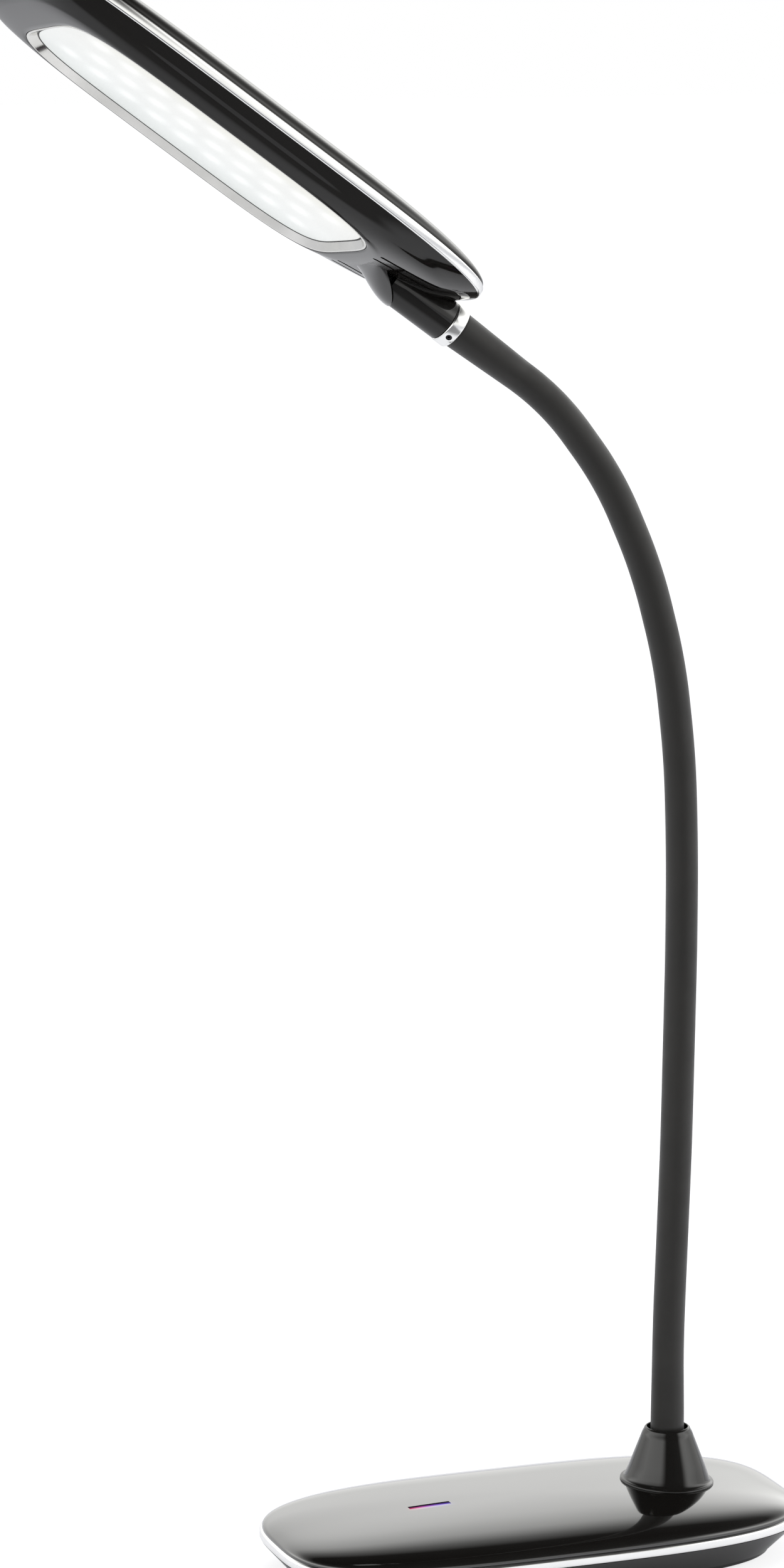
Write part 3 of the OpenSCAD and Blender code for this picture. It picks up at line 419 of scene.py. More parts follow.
def bump(tree, value, distance, strength, shader):
    node = tree.nodes.new("ShaderNodeBump")
    node.inputs["Distance"].default_value = distance
    node.inputs["Strength"].default_value = strength
    tree.links.new(value, node.inputs["Height"])
    tree.links.new(node.outputs["Normal"], shader.inputs["Normal"])


def plain_shader(tree, kind, **values):
    """A one-node shader; each value is a number, a colour or another node's output."""
    node = tree.nodes.new(kind)
    for name, value in values.items():
        if isinstance(value, bpy.types.NodeSocket):
            tree.links.new(value, node.inputs[name])
        else:
            node.inputs[name].default_value = value
    return node.outputs[0]


def mix_shaders(tree, share, first, second):
    node = tree.nodes.new("ShaderNodeMixShader")
    tree.links.new(share, node.inputs["Fac"])
    tree.links.new(first, node.inputs[1])
    tree.links.new(second, node.inputs[2])
    return node.outputs[0]


def mix_colours(tree, share, first, second):
    node = tree.nodes.new("ShaderNodeMix")
    node.data_type = "RGBA"
    tree.links.new(share, node.inputs["Factor"])
    tree.links.new(first, node.inputs["A"])
    tree.links.new(second, node.inputs["B"])
    return node.outputs["Result"]


# ---------------------------------------------------------------- materials

def surface(name, first, second, rough, metallic=0.0, coat=0.0, grain=700.0, relief=0.00001,
            patch=30.0, sheen=0.0, stretch=None, ior=1.5, strength=0.5):
    """A solid material: its colour and roughness drift over patches, and a fine grain gives it relief."""
    mat, tree, shader = new_material(name)
    shader.inputs["Metallic"].default_value = metallic
    shader.inputs["IOR"].default_value = ior
    shader.inputs["Coat Weight"].default_value = coat
    shader.inputs["Coat Roughness"].default_value = 0.03
    if sheen:
        shader.inputs["Sheen Weight"].default_value = sheen
        shader.inputs["Sheen Roughness"].default_value = 0.5
    tint(tree, noise(tree, patch, 4.0), first, second, shader)
    roughness = map_range(tree, noise(tree, patch * 2.3, 5.0), NOISE_SPAN, rough)
    tree.links.new(roughness, shader.inputs["Roughness"])
    bump(tree, noise(tree, grain, 2.0, 0.6, stretch=stretch), relief, strength, shader)
    return mat


GLOSS = surface("gloss_black", (0.0075, 0.007, 0.0062), (0.0105, 0.0095, 0.0085), (0.04, 0.085), ior=1.46,
                grain=260.0, relief=0.000004, patch=22.0, strength=0.2)
DOME, COWL = [surface(name, (0.0045, 0.004, 0.0034), (0.0065, 0.0058, 0.005), (0.05, 0.09), ior=1.6, coat=1.0,
                      grain=260.0, relief=0.000004, patch=22.0, strength=0.2)
              for name in ("dome_gloss", "cowl_gloss")]
TRIM = surface("silver_trim", (0.87, 0.87, 0.86), (0.93, 0.93, 0.92), (0.10, 0.20), metallic=1.0,
               grain=1500.0, relief=0.000004, patch=40.0, strength=0.3)
BEZEL = surface("bezel_metal", (0.68, 0.675, 0.64), (0.80, 0.79, 0.76), (0.12, 0.22), metallic=1.0,
                grain=1500.0, relief=0.000006, patch=60.0, strength=0.3)
RUBBER = surface("sleeve_rubber", (0.0105, 0.0095, 0.008), (0.0145, 0.0132, 0.0112), (0.46, 0.58),
                 grain=2600.0, relief=0.00003, patch=55.0, sheen=0.17, strength=0.35, ior=1.42)
HOSE = surface("wound_steel", (0.36, 0.36, 0.37), (0.48, 0.48, 0.49), (0.25, 0.4), metallic=1.0,
               grain=900.0, relief=0.00002, stretch=(1, 1, 4))
BALLAST = surface("raw_steel", (0.16, 0.15, 0.15), (0.28, 0.27, 0.26), (0.45, 0.7), metallic=1.0,
                  grain=500.0, relief=0.00006, patch=60.0)
SCREW = surface("plated_steel", (0.55, 0.55, 0.54), (0.68, 0.67, 0.64), (0.22, 0.38), metallic=1.0,
                grain=1800.0)
BRASS = surface("brass", (0.62, 0.48, 0.22), (0.72, 0.58, 0.3), (0.2, 0.35), metallic=1.0, grain=1200.0)
FEET = surface("foot_rubber", (0.018, 0.018, 0.018), (0.03, 0.03, 0.03), (0.6, 0.8), grain=1500.0,
               relief=0.00004, sheen=0.1)
BOARD = surface("green_board", (0.02, 0.12, 0.06), (0.04, 0.2, 0.1), (0.3, 0.45), grain=900.0,
                relief=0.00003, patch=160.0)
WHITE_BOARD = surface("white_board", (0.78, 0.78, 0.75), (0.86, 0.86, 0.83), (0.4, 0.55), grain=900.0)
LED = surface("led_package", (0.85, 0.75, 0.35), (0.92, 0.86, 0.55), (0.3, 0.4), grain=2000.0)
INLET = surface("socket_black", (0.02, 0.02, 0.021), (0.03, 0.03, 0.031), (0.35, 0.5), grain=1800.0,
                relief=0.00002)
WIRE = surface("wire_cover", (0.02, 0.02, 0.021), (0.032, 0.031, 0.031), (0.35, 0.5), grain=1200.0)
SPREADER = surface("sheet_aluminium", (0.7, 0.71, 0.72), (0.8, 0.8, 0.81), (0.25, 0.42), metallic=1.0,
                   stretch=(1, 12, 1))
FITTING = surface("turned_aluminium", (0.6, 0.6, 0.61), (0.7, 0.7, 0.71), (0.18, 0.32), metallic=1.0,
                  grain=900.0)
GRUB = surface("black_oxide", (0.02, 0.02, 0.022), (0.04, 0.04, 0.042), (0.3, 0.45), metallic=1.0,
               grain=1500.0)
GASKET = surface("gasket", (0.008, 0.008, 0.008), (0.014, 0.014, 0.013), (0.4, 0.6), grain=1500.0)


# ---------------------------------------------------------------- the neck's line and the head's frame

def along(slope):
    """The direction of a line at an angle above the horizontal."""
    return Vector((math.cos(slope), 0.0, math.sin(slope)))


def neck_point(place, slope, length, bend, s):
    """Place and slope at a distance s up a length from its start: straight in its cup, then evenly bent."""
    if s <= CUP or bend == 0:
        return place + along(slope) * s, slope
    arc = length - CUP
    r, a = arc / bend, slope - bend * ((s - CUP) / arc)
    return place + along(slope) * CUP + Vector((math.sin(slope) - math.sin(a), 0,
                                                math.cos(a) - math.cos(slope))) * r, a


def neck_line():
    """The ends of the neck's lengths, the slopes there, and the centre line as (distance, place, slope)."""
    place, slope, done = Vector((NECK_X, 0.0, NECK_Z)), math.radians(90), 0.0
    ends, slopes, line = [place], [slope], []
    for length, bend in zip(LENGTHS, map(math.radians, BENDS)):
        for k in range(LINE_STEPS):
            s = length * k / LINE_STEPS
            line.append((done + s, *neck_point(place, slope, length, bend, s)))
        place, slope = neck_point(place, slope, length, bend, length)
        done += length
        ends.append(place)
        slopes.append(slope)
    line.append((done, place, slope))
    return ends, slopes, line


PIVOTS, SLOPES, LINE = neck_line()
ON_HEAD = (Matrix.Translation(PIVOTS[-1]) @ Matrix.Rotation(-SLOPES[-1], 4, "Y")
           @ Matrix.Rotation(math.radians(HEAD_ROLL), 4, "X"))


# ---------------------------------------------------------------- lit materials

def led_spots(tree, x, y):
    """A soft bright spot over each diode, in three rows. x and y start at the window's middle."""
    spot_x, spot_y = 3.6, 3.4
    total = None
    for row, count in LED_ROWS:
        shift = 0.5 if count % 2 == 0 else 0.0
        u = calc(tree, "ADD", calc(tree, "DIVIDE", x, LED_PITCH * MM), shift)
        u = calc(tree, "SUBTRACT", u, calc(tree, "ROUND", u))
        u = calc(tree, "MULTIPLY", u, LED_PITCH / spot_x)
        v = calc(tree, "DIVIDE", calc(tree, "SUBTRACT", y, row * ROW_PITCH * MM), spot_y * MM)
        d = calc(tree, "ADD", calc(tree, "MULTIPLY", u, u), calc(tree, "MULTIPLY", v, v))
        spot = calc(tree, "EXPONENT", calc(tree, "MULTIPLY", d, -1.0))
        inside = calc(tree, "LESS_THAN", calc(tree, "ABSOLUTE", x), (count / 2) * LED_PITCH * MM)
        spot = calc(tree, "MULTIPLY", spot, inside)
        total = spot if total is None else calc(tree, "ADD", total, spot)
    return total


def window_material(name):
    """The lit window: bright spots on an even light, cooler at its far edge and warmer at its near one."""
    even, at_edge, at_spots, at_cloud = 0.64, 0.05, 0.15, 0.03
    mat, tree, shader = new_material(name)
    local = tree.nodes.new("ShaderNodeMapping")
    local.vector_type = "TEXTURE"
    local.inputs["Location"].default_value = ON_HEAD.to_translation() * MM
    local.inputs["Rotation"].default_value = ON_HEAD.to_euler("XYZ")
    tree.links.new(object_place(tree), local.inputs["Vector"])
    place = axes(tree, local.outputs["Vector"])
    x, y = calc(tree, "SUBTRACT", place["X"], WINDOW_MID * MM), place["Y"]
    half = (WINDOW_B - BEZEL_RUN) * MM

    edge = calc(tree, "POWER", calc(tree, "DIVIDE", calc(tree, "ABSOLUTE", y), half), 3.0)
    level = calc(tree, "SUBTRACT", even, calc(tree, "MULTIPLY", edge, at_edge))
    level = calc(tree, "ADD", level, calc(tree, "MULTIPLY", led_spots(tree, x, y), at_spots))
    cloud = noise(tree, 60.0, 3.0, coords=local.outputs["Vector"])
    drift = calc(tree, "MULTIPLY", calc(tree, "SUBTRACT", cloud, 0.5), at_cloud)
    tree.links.new(calc(tree, "ADD", level, drift), shader.inputs["Emission Strength"])

    shade = colour_ramp(tree, map_range(tree, y, (-half, half)),
                        [(0.0, (0.88, 0.93, 0.915)), (0.3, (0.975, 1.0, 0.985)), (0.75, (0.995, 1.0, 0.97)),
                         (1.0, (1.0, 0.98, 0.82))])
    tree.links.new(shade, shader.inputs["Emission Color"])
    tint(tree, cloud, (0.16, 0.16, 0.16), (0.2, 0.2, 0.2), shader)
    shader.inputs["Roughness"].default_value = 0.35
    return mat


def slit_colours(tree, x):
    """The slit's colours by place along X: violet-blue at its rear end to red-magenta at its front end."""
    from_rear = map_range(tree, x, ((SLIT_X - SLIT_LEN / 2) * MM, (SLIT_X + SLIT_LEN / 2) * MM))
    return colour_ramp(tree, from_rear, [(0.0, (0.16, 0.10, 0.75)), (0.3, (0.30, 0.14, 0.95)),
                                         (0.55, (0.62, 0.12, 0.85)), (0.78, (0.95, 0.12, 0.5)),
                                         (1.0, (0.9, 0.06, 0.16))])


def slit_material(name):
    """The lit slit: nearly dark at its far edge and bright along its near one."""
    dark_y, bright_y = -0.7, 1.2
    mat, tree, shader = new_material(name)
    place = axes(tree, object_place(tree))
    tree.links.new(slit_colours(tree, place["X"]), shader.inputs["Emission Color"])
    brightness = map_range(tree, place["Y"], (dark_y * MM, bright_y * MM), (0.02, 1.1))
    tree.links.new(brightness, shader.inputs["Emission Strength"])
    tint(tree, noise(tree, 300.0), (0.012, 0.006, 0.02), (0.02, 0.01, 0.03), shader)
    shader.inputs["Roughness"].default_value = 0.12
    shader.inputs["IOR"].default_value = 1.03
    return mat


def slit_glow(mat):
    """Light that spills from the slit onto the dome's near side."""
    reach_x, reach_y, brightness = 9.5, 2.0, 0.26
    tree = mat.node_tree
    shader = tree.nodes["Principled BSDF"]
    place = axes(tree, object_place(tree))

    def hill(value, middle, half):
        off = calc(tree, "ABSOLUTE", calc(tree, "SUBTRACT", value, middle * MM))
        return map_range(tree, off, (half * MM * 0.5, half * MM), (1.0, 0.0), smooth=True)

    both = calc(tree, "MULTIPLY", hill(place["X"], SLIT_X, reach_x), hill(place["Y"], SLIT_WID / 2, reach_y))
    tree.links.new(calc(tree, "MULTIPLY", both, brightness), shader.inputs["Emission Strength"])
    tree.links.new(slit_colours(tree, place["X"]), shader.inputs["Emission Color"])


WINDOW = window_material("lit_window")
SLIT = slit_material("lit_slit")
slit_glow(DOME)

BY_SLOT = {"black_gloss": GLOSS, "trim_metal": TRIM, "rubber_sleeve": RUBBER, "hose_steel": HOSE,
           "ballast_steel": BALLAST, "screw_steel": SCREW, "brass": BRASS, "foot_rubber": FEET,
           "board": BOARD, "white_board": WHITE_BOARD, "led": LED, "lens": SLIT, "diffuser": WINDOW,
           "inlet_black": INLET, "wire": WIRE, "spreader": SPREADER, "fitting": FITTING,
           "grub_black": GRUB}
for part in frame["record"]["subparts"]:
    obj = nodes[part["node"]]
    obj.data.materials.clear()
    obj.data.materials.append(BY_SLOT[part["material_slot"]])


# ---------------------------------------------------------------- base

def base_dome():
    """The base's top, with the slit and the hole for the neck's stem."""
    outer = dome_rings(DOME_A, DOME_B, DOME_Z, DOME_RISE, DOME_POWER, DOME_SOFT, BASE_SQUARE)
    inner = dome_rings(RIM_A + 0.15, RIM_B + 0.15, DOME_Z, DOME_RISE - BASE_WALL, DOME_POWER, DOME_SOFT,
                       BASE_SQUARE, steps=16)
    verts, faces = domed_shell(outer, inner, 0.0, DOME_Z + DOME_RISE, BASE_WALL)
    shell = mesh_piece("base_dome", verts, faces, "base", ["base_top_shell"], DOME, "black_gloss")
    slit_top = dome_height(SLIT_X, 0)
    slit = box_mesh((SLIT_X - SLIT_LEN / 2, -SLIT_WID / 2, slit_top - 4),
                    (SLIT_X + SLIT_LEN / 2, SLIT_WID / 2, slit_top + 2))
    stem = rod_mesh(STEM_HOLE, 10, 30, NECK_X, 0)
    cut(shell, [(*slit, None), (*stem, None)])


def base_band():
    """The base's trim, with soft edges."""
    depth, over, under, under_in = 3.0, 1.1, 0.9, 0.7
    profile = [(depth, TRIM_Z), (depth, DOME_Z)]
    profile += soft_corner((over, DOME_Z), (0.0, DOME_Z - over), (0.2, DOME_Z - 0.2), 8)
    profile += soft_corner((0.0, TRIM_Z + under), (under_in, TRIM_Z), (0.15, TRIM_Z + 0.15), 6)
    rings = [ring(BASE_A - d, BASE_B - d, z, BASE_SQUARE) for d, z in profile]
    mesh_piece("base_band", *skin(rings, loop=True), "base", ["base_trim"], TRIM, "trim_metal")


def base_tray():
    """The base's lower shell, with seats for the feet, the pad, the screws and the inlet."""
    n, wall_steps, wall_from = BASE_SQUARE, 14, 1.2
    top_a, top_b = DOME_A + TRAY_FLARE, DOME_B + TRAY_FLARE
    wall = []
    for k in range(wall_steps + 1):
        t = k / wall_steps
        z = LOWER_Z + wall_from + t * (TRIM_Z - LOWER_Z - wall_from)
        wall.append((FOOT_A + t * (top_a - FOOT_A), FOOT_B + t * (top_b - FOOT_B), z))
    floor_rings = [(20, 12, 0.0), (60, 26, 0.0), (FOOT_A - 2.5, FOOT_B - 2.5, 0.0)]
    edge = [(FOOT_A - inset, FOOT_B - inset, up) for inset, up in ((1.2, 0.0), (0.7, 0.14), (0.3, 0.5))]
    outer = [ring(a, b, LOWER_Z + up, n) for a, b, up in floor_rings + edge]
    outer += [ring(a, b, z, n) for a, b, z in wall]
    inner = [ring(a, b, z, n) for a, b, z in
             [(RIM_A - BASE_WALL, RIM_B - BASE_WALL, TRIM_Z),
              (FOOT_A - BASE_WALL, FOOT_B - BASE_WALL, LOWER_Z + TRAY_FLOOR), (20, 12, LOWER_Z + TRAY_FLOOR)]]
    tray = mesh_piece("base_tray", *skin(outer + inner, True, True), "base", ["base_lower_shell"], GLOSS,
                      "black_gloss")
    seats = [(FEET_R, FEET_SINK, FEET_X, FEET_Y), (SCREW_R, SCREW_SINK, SCREW_X, SCREW_Y)]
    tools = []
    for sx in (-1, 1):
        for sy in (-1, 1):
            for r, sink, x, y in seats:
                tools.append((*rod_mesh(r + GAP, -1, LOWER_Z + sink, sx * x, sy * y), None))
    pad = [ring(PAD_LEN / 2 + GAP, PAD_WID / 2 + GAP, z, n, ROUND) for z in (-1, LOWER_Z + FEET_SINK)]
    tools.append((*skin(pad, True, True), None))
    to_rear = Matrix.Translation((-FOOT_A, 0, INLET_Z)) @ Matrix.Rotation(math.radians(-90), 4, "Y")
    tools.append((*rod_mesh(INLET_R + GAP, -1, 20), to_rear))
    cut(tray, tools)


def collar():
    """The cone around the neck's foot, on a skirt that follows the dome."""
    slope = (COLLAR_BASE - COLLAR_TOP) / COLLAR_H
    axis_z = dome_height(NECK_X, 0)
    skirt, lip, step, tuck = COLLAR_BASE + SKIRT, 0.9, 1.2, 0.05
    # (radius, height, how far that height follows the dome)
    profile = [(9.0, 0.2, 1), (skirt - 0.5, 0.02, 1), (skirt, 0.12, 1), (skirt, 0.45, 1),
               (skirt - 0.12, 0.72, 1), (skirt - 0.35, 0.86, 1), (skirt - 0.8, SKIRT, 1),
               (COLLAR_BASE - 0.2, 1.0, 0.95), (COLLAR_BASE - 0.52, 1.35, 0.85)]
    h = 2.0
    while h < COLLAR_H - step:
        profile.append((COLLAR_BASE - slope * h - tuck, h, max(0.0, 0.8 - h / 7)))
        h += step
    for a in map(math.radians, (8, 22, 40, 60, 78, 90)):
        profile.append((COLLAR_TOP + tuck - lip + lip * math.cos(a), COLLAR_H - lip + lip * math.sin(a), 0))
    profile += [(COLLAR_HOLE + 0.02, COLLAR_H - 0.05, 0), (COLLAR_HOLE - 0.1, COLLAR_H - 0.4, 0),
                (COLLAR_HOLE, COLLAR_H - 3, 0), (12.4, 1.6, 0.5)]
    rings = []
    for r, height, follow in profile:
        row = []
        for x, y, _ in circle(r, 0.0, FINE_ROUND, NECK_X):
            z = follow * dome_height(x, y) + (1 - follow) * axis_z + height
            row.append((x, y, z))
        rings.append(row)
    mesh_piece("collar", *skin(rings, loop=True), "base", ["neck_collar"], GLOSS, "black_gloss", sharp=50)


# ---------------------------------------------------------------- neck

def sleeve_radius(s):
    """The sleeve narrows above its foot and widens to its top end."""
    if s < TAPER_FROM + TAPER_LEN:
        t = min(1.0, max(0.0, (s - TAPER_FROM) / TAPER_LEN))
        return SLEEVE_LOW + (SLEEVE_R - SLEEVE_LOW) * t * t * (3 - 2 * t)
    start, stop = sum(LENGTHS[:-1]) + WIDEN_FROM, sum(LENGTHS) - RING_LEN / 2
    if s > start:
        t = min(1.0, (s - start) / (stop - start))
        return SLEEVE_R + (SLEEVE_TOP - SLEEVE_R) * t
    return SLEEVE_R


def sleeve_ring(s, r):
    """A ring about the neck's centre line at a distance s along it."""
    p, a = LINE[-1][1], LINE[-1][2]
    for (s0, p0, a0), (s1, p1, a1) in zip(LINE, LINE[1:]):
        if s0 <= s <= s1:
            f = (s - s0) / (s1 - s0)
            p, a = p0.lerp(p1, f), a0 + f * (a1 - a0)
            break
    side, left = Vector((math.sin(a), 0, -math.cos(a))), Vector((0, 1, 0))
    turns = [2 * math.pi * i / SLEEVE_ROUND for i in range(SLEEVE_ROUND)]
    return [tuple(p + side * (r * math.cos(t)) + left * (r * math.sin(t))) for t in turns]


def sleeves():
    """The rubber sleeve, in pieces that each span one joint and meet halfway between joints."""
    step, end_gap = 0.9, 0.05
    joints = len(LENGTHS) - 1
    middles, done = [], 0.0
    for length in LENGTHS:
        middles.append((done + (done + length)) / 2)
        done += length
    for j in range(1, joints + 1):
        low = end_gap if j == 1 else middles[j - 1]
        high = sum(LENGTHS) - RING_LEN / 2 - end_gap if j == joints else middles[j]
        steps = max(8, round((high - low) / step))
        rings = []
        if j == 1:
            rings += [sleeve_ring(low + 0.05, 3.8), sleeve_ring(low, SLEEVE_LOW - 0.4),
                      sleeve_ring(low + 0.1, SLEEVE_LOW - 0.1)]
        for k in range(steps + 1):
            s = low + (high - low) * k / steps
            rings.append(sleeve_ring(s, sleeve_radius(s)))
        if j == joints:
            r = sleeve_radius(high)
            rings[-1] = sleeve_ring(high - 0.25, r)
            rings += [sleeve_ring(high - 0.05, r - 0.12), sleeve_ring(high, r - 0.4), sleeve_ring(high, 3.3)]
        replaced = [f"neck_sleeve_{j}"] + (["neck_sleeve_0"] if j == 1 else [])
        piece = mesh_piece(f"sleeve_{j}", *skin(rings), None, replaced, RUBBER, "rubber_sleeve", sharp=60)
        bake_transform(piece)


# ---------------------------------------------------------------- head

def head_cover():
    """The head's top."""
    outer = dome_rings(SHELL_A, SHELL_B, BAND_TOP, HEAD_RISE, HEAD_POWER, HEAD_SOFT, HEAD_SQUARE, HEAD_MID)
    inner = dome_rings(SHELL_A - HEAD_WALL, SHELL_B - HEAD_WALL, BAND_TOP, HEAD_RISE - HEAD_WALL, HEAD_POWER,
                       HEAD_SOFT, HEAD_SQUARE, HEAD_MID, steps=14)
    verts, faces = domed_shell(outer, inner, HEAD_MID, BAND_TOP + HEAD_RISE, HEAD_WALL)
    mesh_piece("head_cover", verts, faces, "head", ["head_upper_shell"], GLOSS, "black_gloss", ON_HEAD)


def head_band():
    """The head's trim, with soft edges."""
    depth, edge, pull = 2.4, 0.6, 0.1
    profile = [(depth, BAND_Z), (depth, BAND_TOP)]
    profile += soft_corner((edge, BAND_TOP), (0.0, BAND_TOP - edge), (pull, BAND_TOP - pull), 6)
    profile += soft_corner((0.0, BAND_Z + edge), (edge, BAND_Z), (pull, BAND_Z + pull), 6)
    rings = [ring(HEAD_A - d, HEAD_B - d, z, HEAD_SQUARE, cx=HEAD_MID) for d, z in profile]
    mesh_piece("head_band", *skin(rings, loop=True), "head", ["head_trim"], TRIM, "trim_metal", ON_HEAD)


def head_tray():
    """The head's lower shell, from the window's edge up to the trim, with the barrel's channel and vents."""
    n = HEAD_SQUARE
    flank = curve([(FLAT_FRONT, FLAT_REAR, FLAT_B, WINDOW_Z + FLAT_RISE, 3.5),
                   (90.0, 84.6, 37.4, WINDOW_Z + 3.4, 3.2), (96.0, 93.1, 38.1, WINDOW_Z + 6.2, 3.5),
                   (SHELL_A, SHELL_A, SHELL_B, BAND_Z, n)], 8)
    sides = shell_rings(flank, n)
    rings = [window_ring(0.08, 0.08, WINDOW_Z + 5.0), window_ring(0.08, 0.08, WINDOW_Z + 0.35),
             window_ring(0.18, 0.14, WINDOW_Z + 0.12), window_ring(WINDOW_LIP, 0.22, WINDOW_Z)]
    flat_steps = 8
    for k in range(1, flat_steps):
        f = k / flat_steps
        rings.append([(p[0] + (q[0] - p[0]) * f, p[1] + (q[1] - p[1]) * f, WINDOW_Z + FLAT_RISE * f * f)
                      for p, q in zip(rings[3], sides[0])])
    rings += sides
    inside = [(SHELL_A - HEAD_WALL, SHELL_A - HEAD_WALL, SHELL_B - HEAD_WALL, BAND_Z, n),
              (SHELL_A - 9.8, SHELL_A - 17.0, 35.6, WINDOW_Z + 4.6, 3.2)]
    rings += shell_rings(inside, n)
    rings.append(window_ring(2.0, 0.6, WINDOW_Z + 5.0))
    tray = mesh_piece("head_tray", *skin(rings, loop=True), "head", ["head_lower_shell"], GLOSS,
                      "black_gloss", ON_HEAD)
    channel = lathe_x([(-2, BARREL_R + GAP), (NOSE_X, BARREL_R + GAP), (BARREL_END + 0.15, NOSE_R + GAP)])
    tools = [(*skin(channel, True, True), ON_HEAD)]
    vent_mid = WINDOW_MID - WINDOW_A - VENT_GAP - VENT_LEN / 2
    for sy in (-1, 1):
        for k in (0, 1):
            vent = slot_mesh(VENT_LEN, VENT_WID, WINDOW_Z - 2, WINDOW_Z + 8, vent_mid,
                             sy * (VENT_IN + k * VENT_STEP))
            tools.append((*vent, ON_HEAD))
    cut(tray, tools)


def tray_height(x):
    """Height of the head's underside behind the window: a soft rise, then the tail's slope."""
    if x < TAIL_X:
        return WINDOW_Z + FLAT_RISE + (TAIL_X - x) * TAIL_SLOPE
    flat_x = WINDOW_MID - WINDOW_A - WINDOW_LIP
    return WINDOW_Z + FLAT_RISE * ((flat_x - x) / (flat_x - TAIL_X)) ** 2


def cowl_share(x):
    """How far x lies along the cowl, and the cowl's half width there."""
    f = (x - COWL_X) / (COWL_END - COWL_X)
    return f, MOUTH_WID + (CREASE_WID - MOUTH_WID) * f


def cowl():
    """The cowl over the barrel's front: a scoop that flattens out forwards, open towards the ring."""
    count, rows, past = 65, 36, 0.6
    verts = []
    for i in range(count):
        t = math.radians(-90 + 180 * i / (count - 1))
        start = COWL_X
        for _ in range(12):  # the mouth's edge, where its width depends on its own place
            y = cowl_share(start)[1] * math.sin(t)
            start = COWL_X + MOUTH_LEN * (1 - math.sqrt(max(0.0, 1 - (y / MOUTH_WID) ** 2)))
        for k in range(rows + 1):
            x = start + (COWL_END + past - start) * k / rows
            f, half = cowl_share(x)
            depth = COWL_DEPTH * (1 - f ** COWL_POWER)
            z = tray_height(x) + COWL_SINK - (depth + COWL_SINK) * math.cos(t)
            verts.append((x, half * math.sin(t), z))
    faces = []
    for i in range(count - 1):
        for k in range(rows):
            a = i * (rows + 1) + k
            faces.append((a, a + rows + 1, a + rows + 2, a + 1))
    piece = mesh_piece("cowl", verts, faces, "head", [], COWL, "black_gloss", ON_HEAD)
    wall = piece.modifiers.new("wall", "SOLIDIFY")
    wall.thickness = COWL_WALL * MM
    wall.offset = -1
    edge = piece.modifiers.new("edge", "BEVEL")
    edge.width = 0.2 * MM
    edge.segments = 3
    edge.limit_method = "ANGLE"
    edge.angle_limit = math.radians(50)
    apply_modifiers(piece, 60)


def barrel():
    """The round part between the ring and the cowl, with a tapered nose."""
    start, edge = RING_LEN / 2 + GAP, 0.3
    profile = [(start, BARREL_BORE), (start, BARREL_R - edge), (start + edge, BARREL_R), (NOSE_X, BARREL_R),
               (BARREL_END, NOSE_R), (BARREL_END, NOSE_BORE), (NOSE_X - 1, NOSE_BORE),
               (NOSE_X - 1, BARREL_BORE)]
    mesh_piece("barrel", *skin(lathe_x(profile), loop=True), "head", ["head_barrel"], GLOSS, "black_gloss",
               ON_HEAD)


def bright_ring():
    """The ring at the neck's top, with its grub screw's hole."""
    half, edge, pull = RING_LEN / 2, 0.55, 0.08
    profile = [(-half, RING_BORE)]
    profile += soft_corner((-half, RING_R - edge), (-half + edge, RING_R), (-half + pull, RING_R - pull), 6)
    profile += soft_corner((half - edge, RING_R), (half, RING_R - edge), (half - pull, RING_R - pull), 6)
    profile += [(half, RING_BORE)]
    piece = mesh_piece("bright_ring", *skin(lathe_x(profile, FINE_ROUND), loop=True), "head", ["head_ring"],
                       TRIM, "trim_metal", ON_HEAD)
    turned = ON_HEAD @ Matrix.Rotation(math.radians(GRUB_TURN), 4, "X")
    cut(piece, [(*rod_mesh(GRUB_R, 0.5, 12), turned)], 45)


def window_bezel():
    """The sloping metal frame around the window."""
    foot, top = WINDOW_Z + BEZEL_DEPTH, WINDOW_Z + BEZEL_TOP
    profile = [(0.0, top), (0.0, WINDOW_Z + 0.3)]
    profile += soft_corner((0.02, WINDOW_Z + 0.2), (0.22, WINDOW_Z), (0.06, WINDOW_Z + 0.04), 3)
    profile += [(0.55, WINDOW_Z), (0.68, WINDOW_Z + 0.06), (BEZEL_RUN - 0.1, foot - 0.08),
                (BEZEL_RUN, foot + 0.06), (BEZEL_RUN, foot + BEZEL_LEDGE), (BEZEL_WALL, foot + BEZEL_LEDGE),
                (BEZEL_WALL, top)]
    rings = [window_ring(-d, -d, z) for d, z in profile]
    mesh_piece("window_bezel", *skin(rings, loop=True), "head", ["led_bezel"], BEZEL, "trim_metal", ON_HEAD,
               sharp=25)


def window_seal():
    """A thin dark seal between bezel and window."""
    foot, width = WINDOW_Z + BEZEL_DEPTH, 0.55
    profile = [(0.0, foot - 0.05), (0.0, foot + 0.6), (width, foot + 0.6), (width, foot - 0.05),
               (width - 0.1, foot - 0.15), (0.1, foot - 0.15)]
    rings = [window_ring(-BEZEL_RUN - d, -BEZEL_RUN - d, z) for d, z in profile]
    mesh_piece("window_seal", *skin(rings, loop=True), "head", [], GASKET, "inlet_black", ON_HEAD)


for build in (base_dome, base_band, base_tray, collar, sleeves, head_cover, head_band, head_tray, cowl,
              barrel, bright_ring, window_bezel, window_seal):
    build()


# ---------------------------------------------------------------- camera

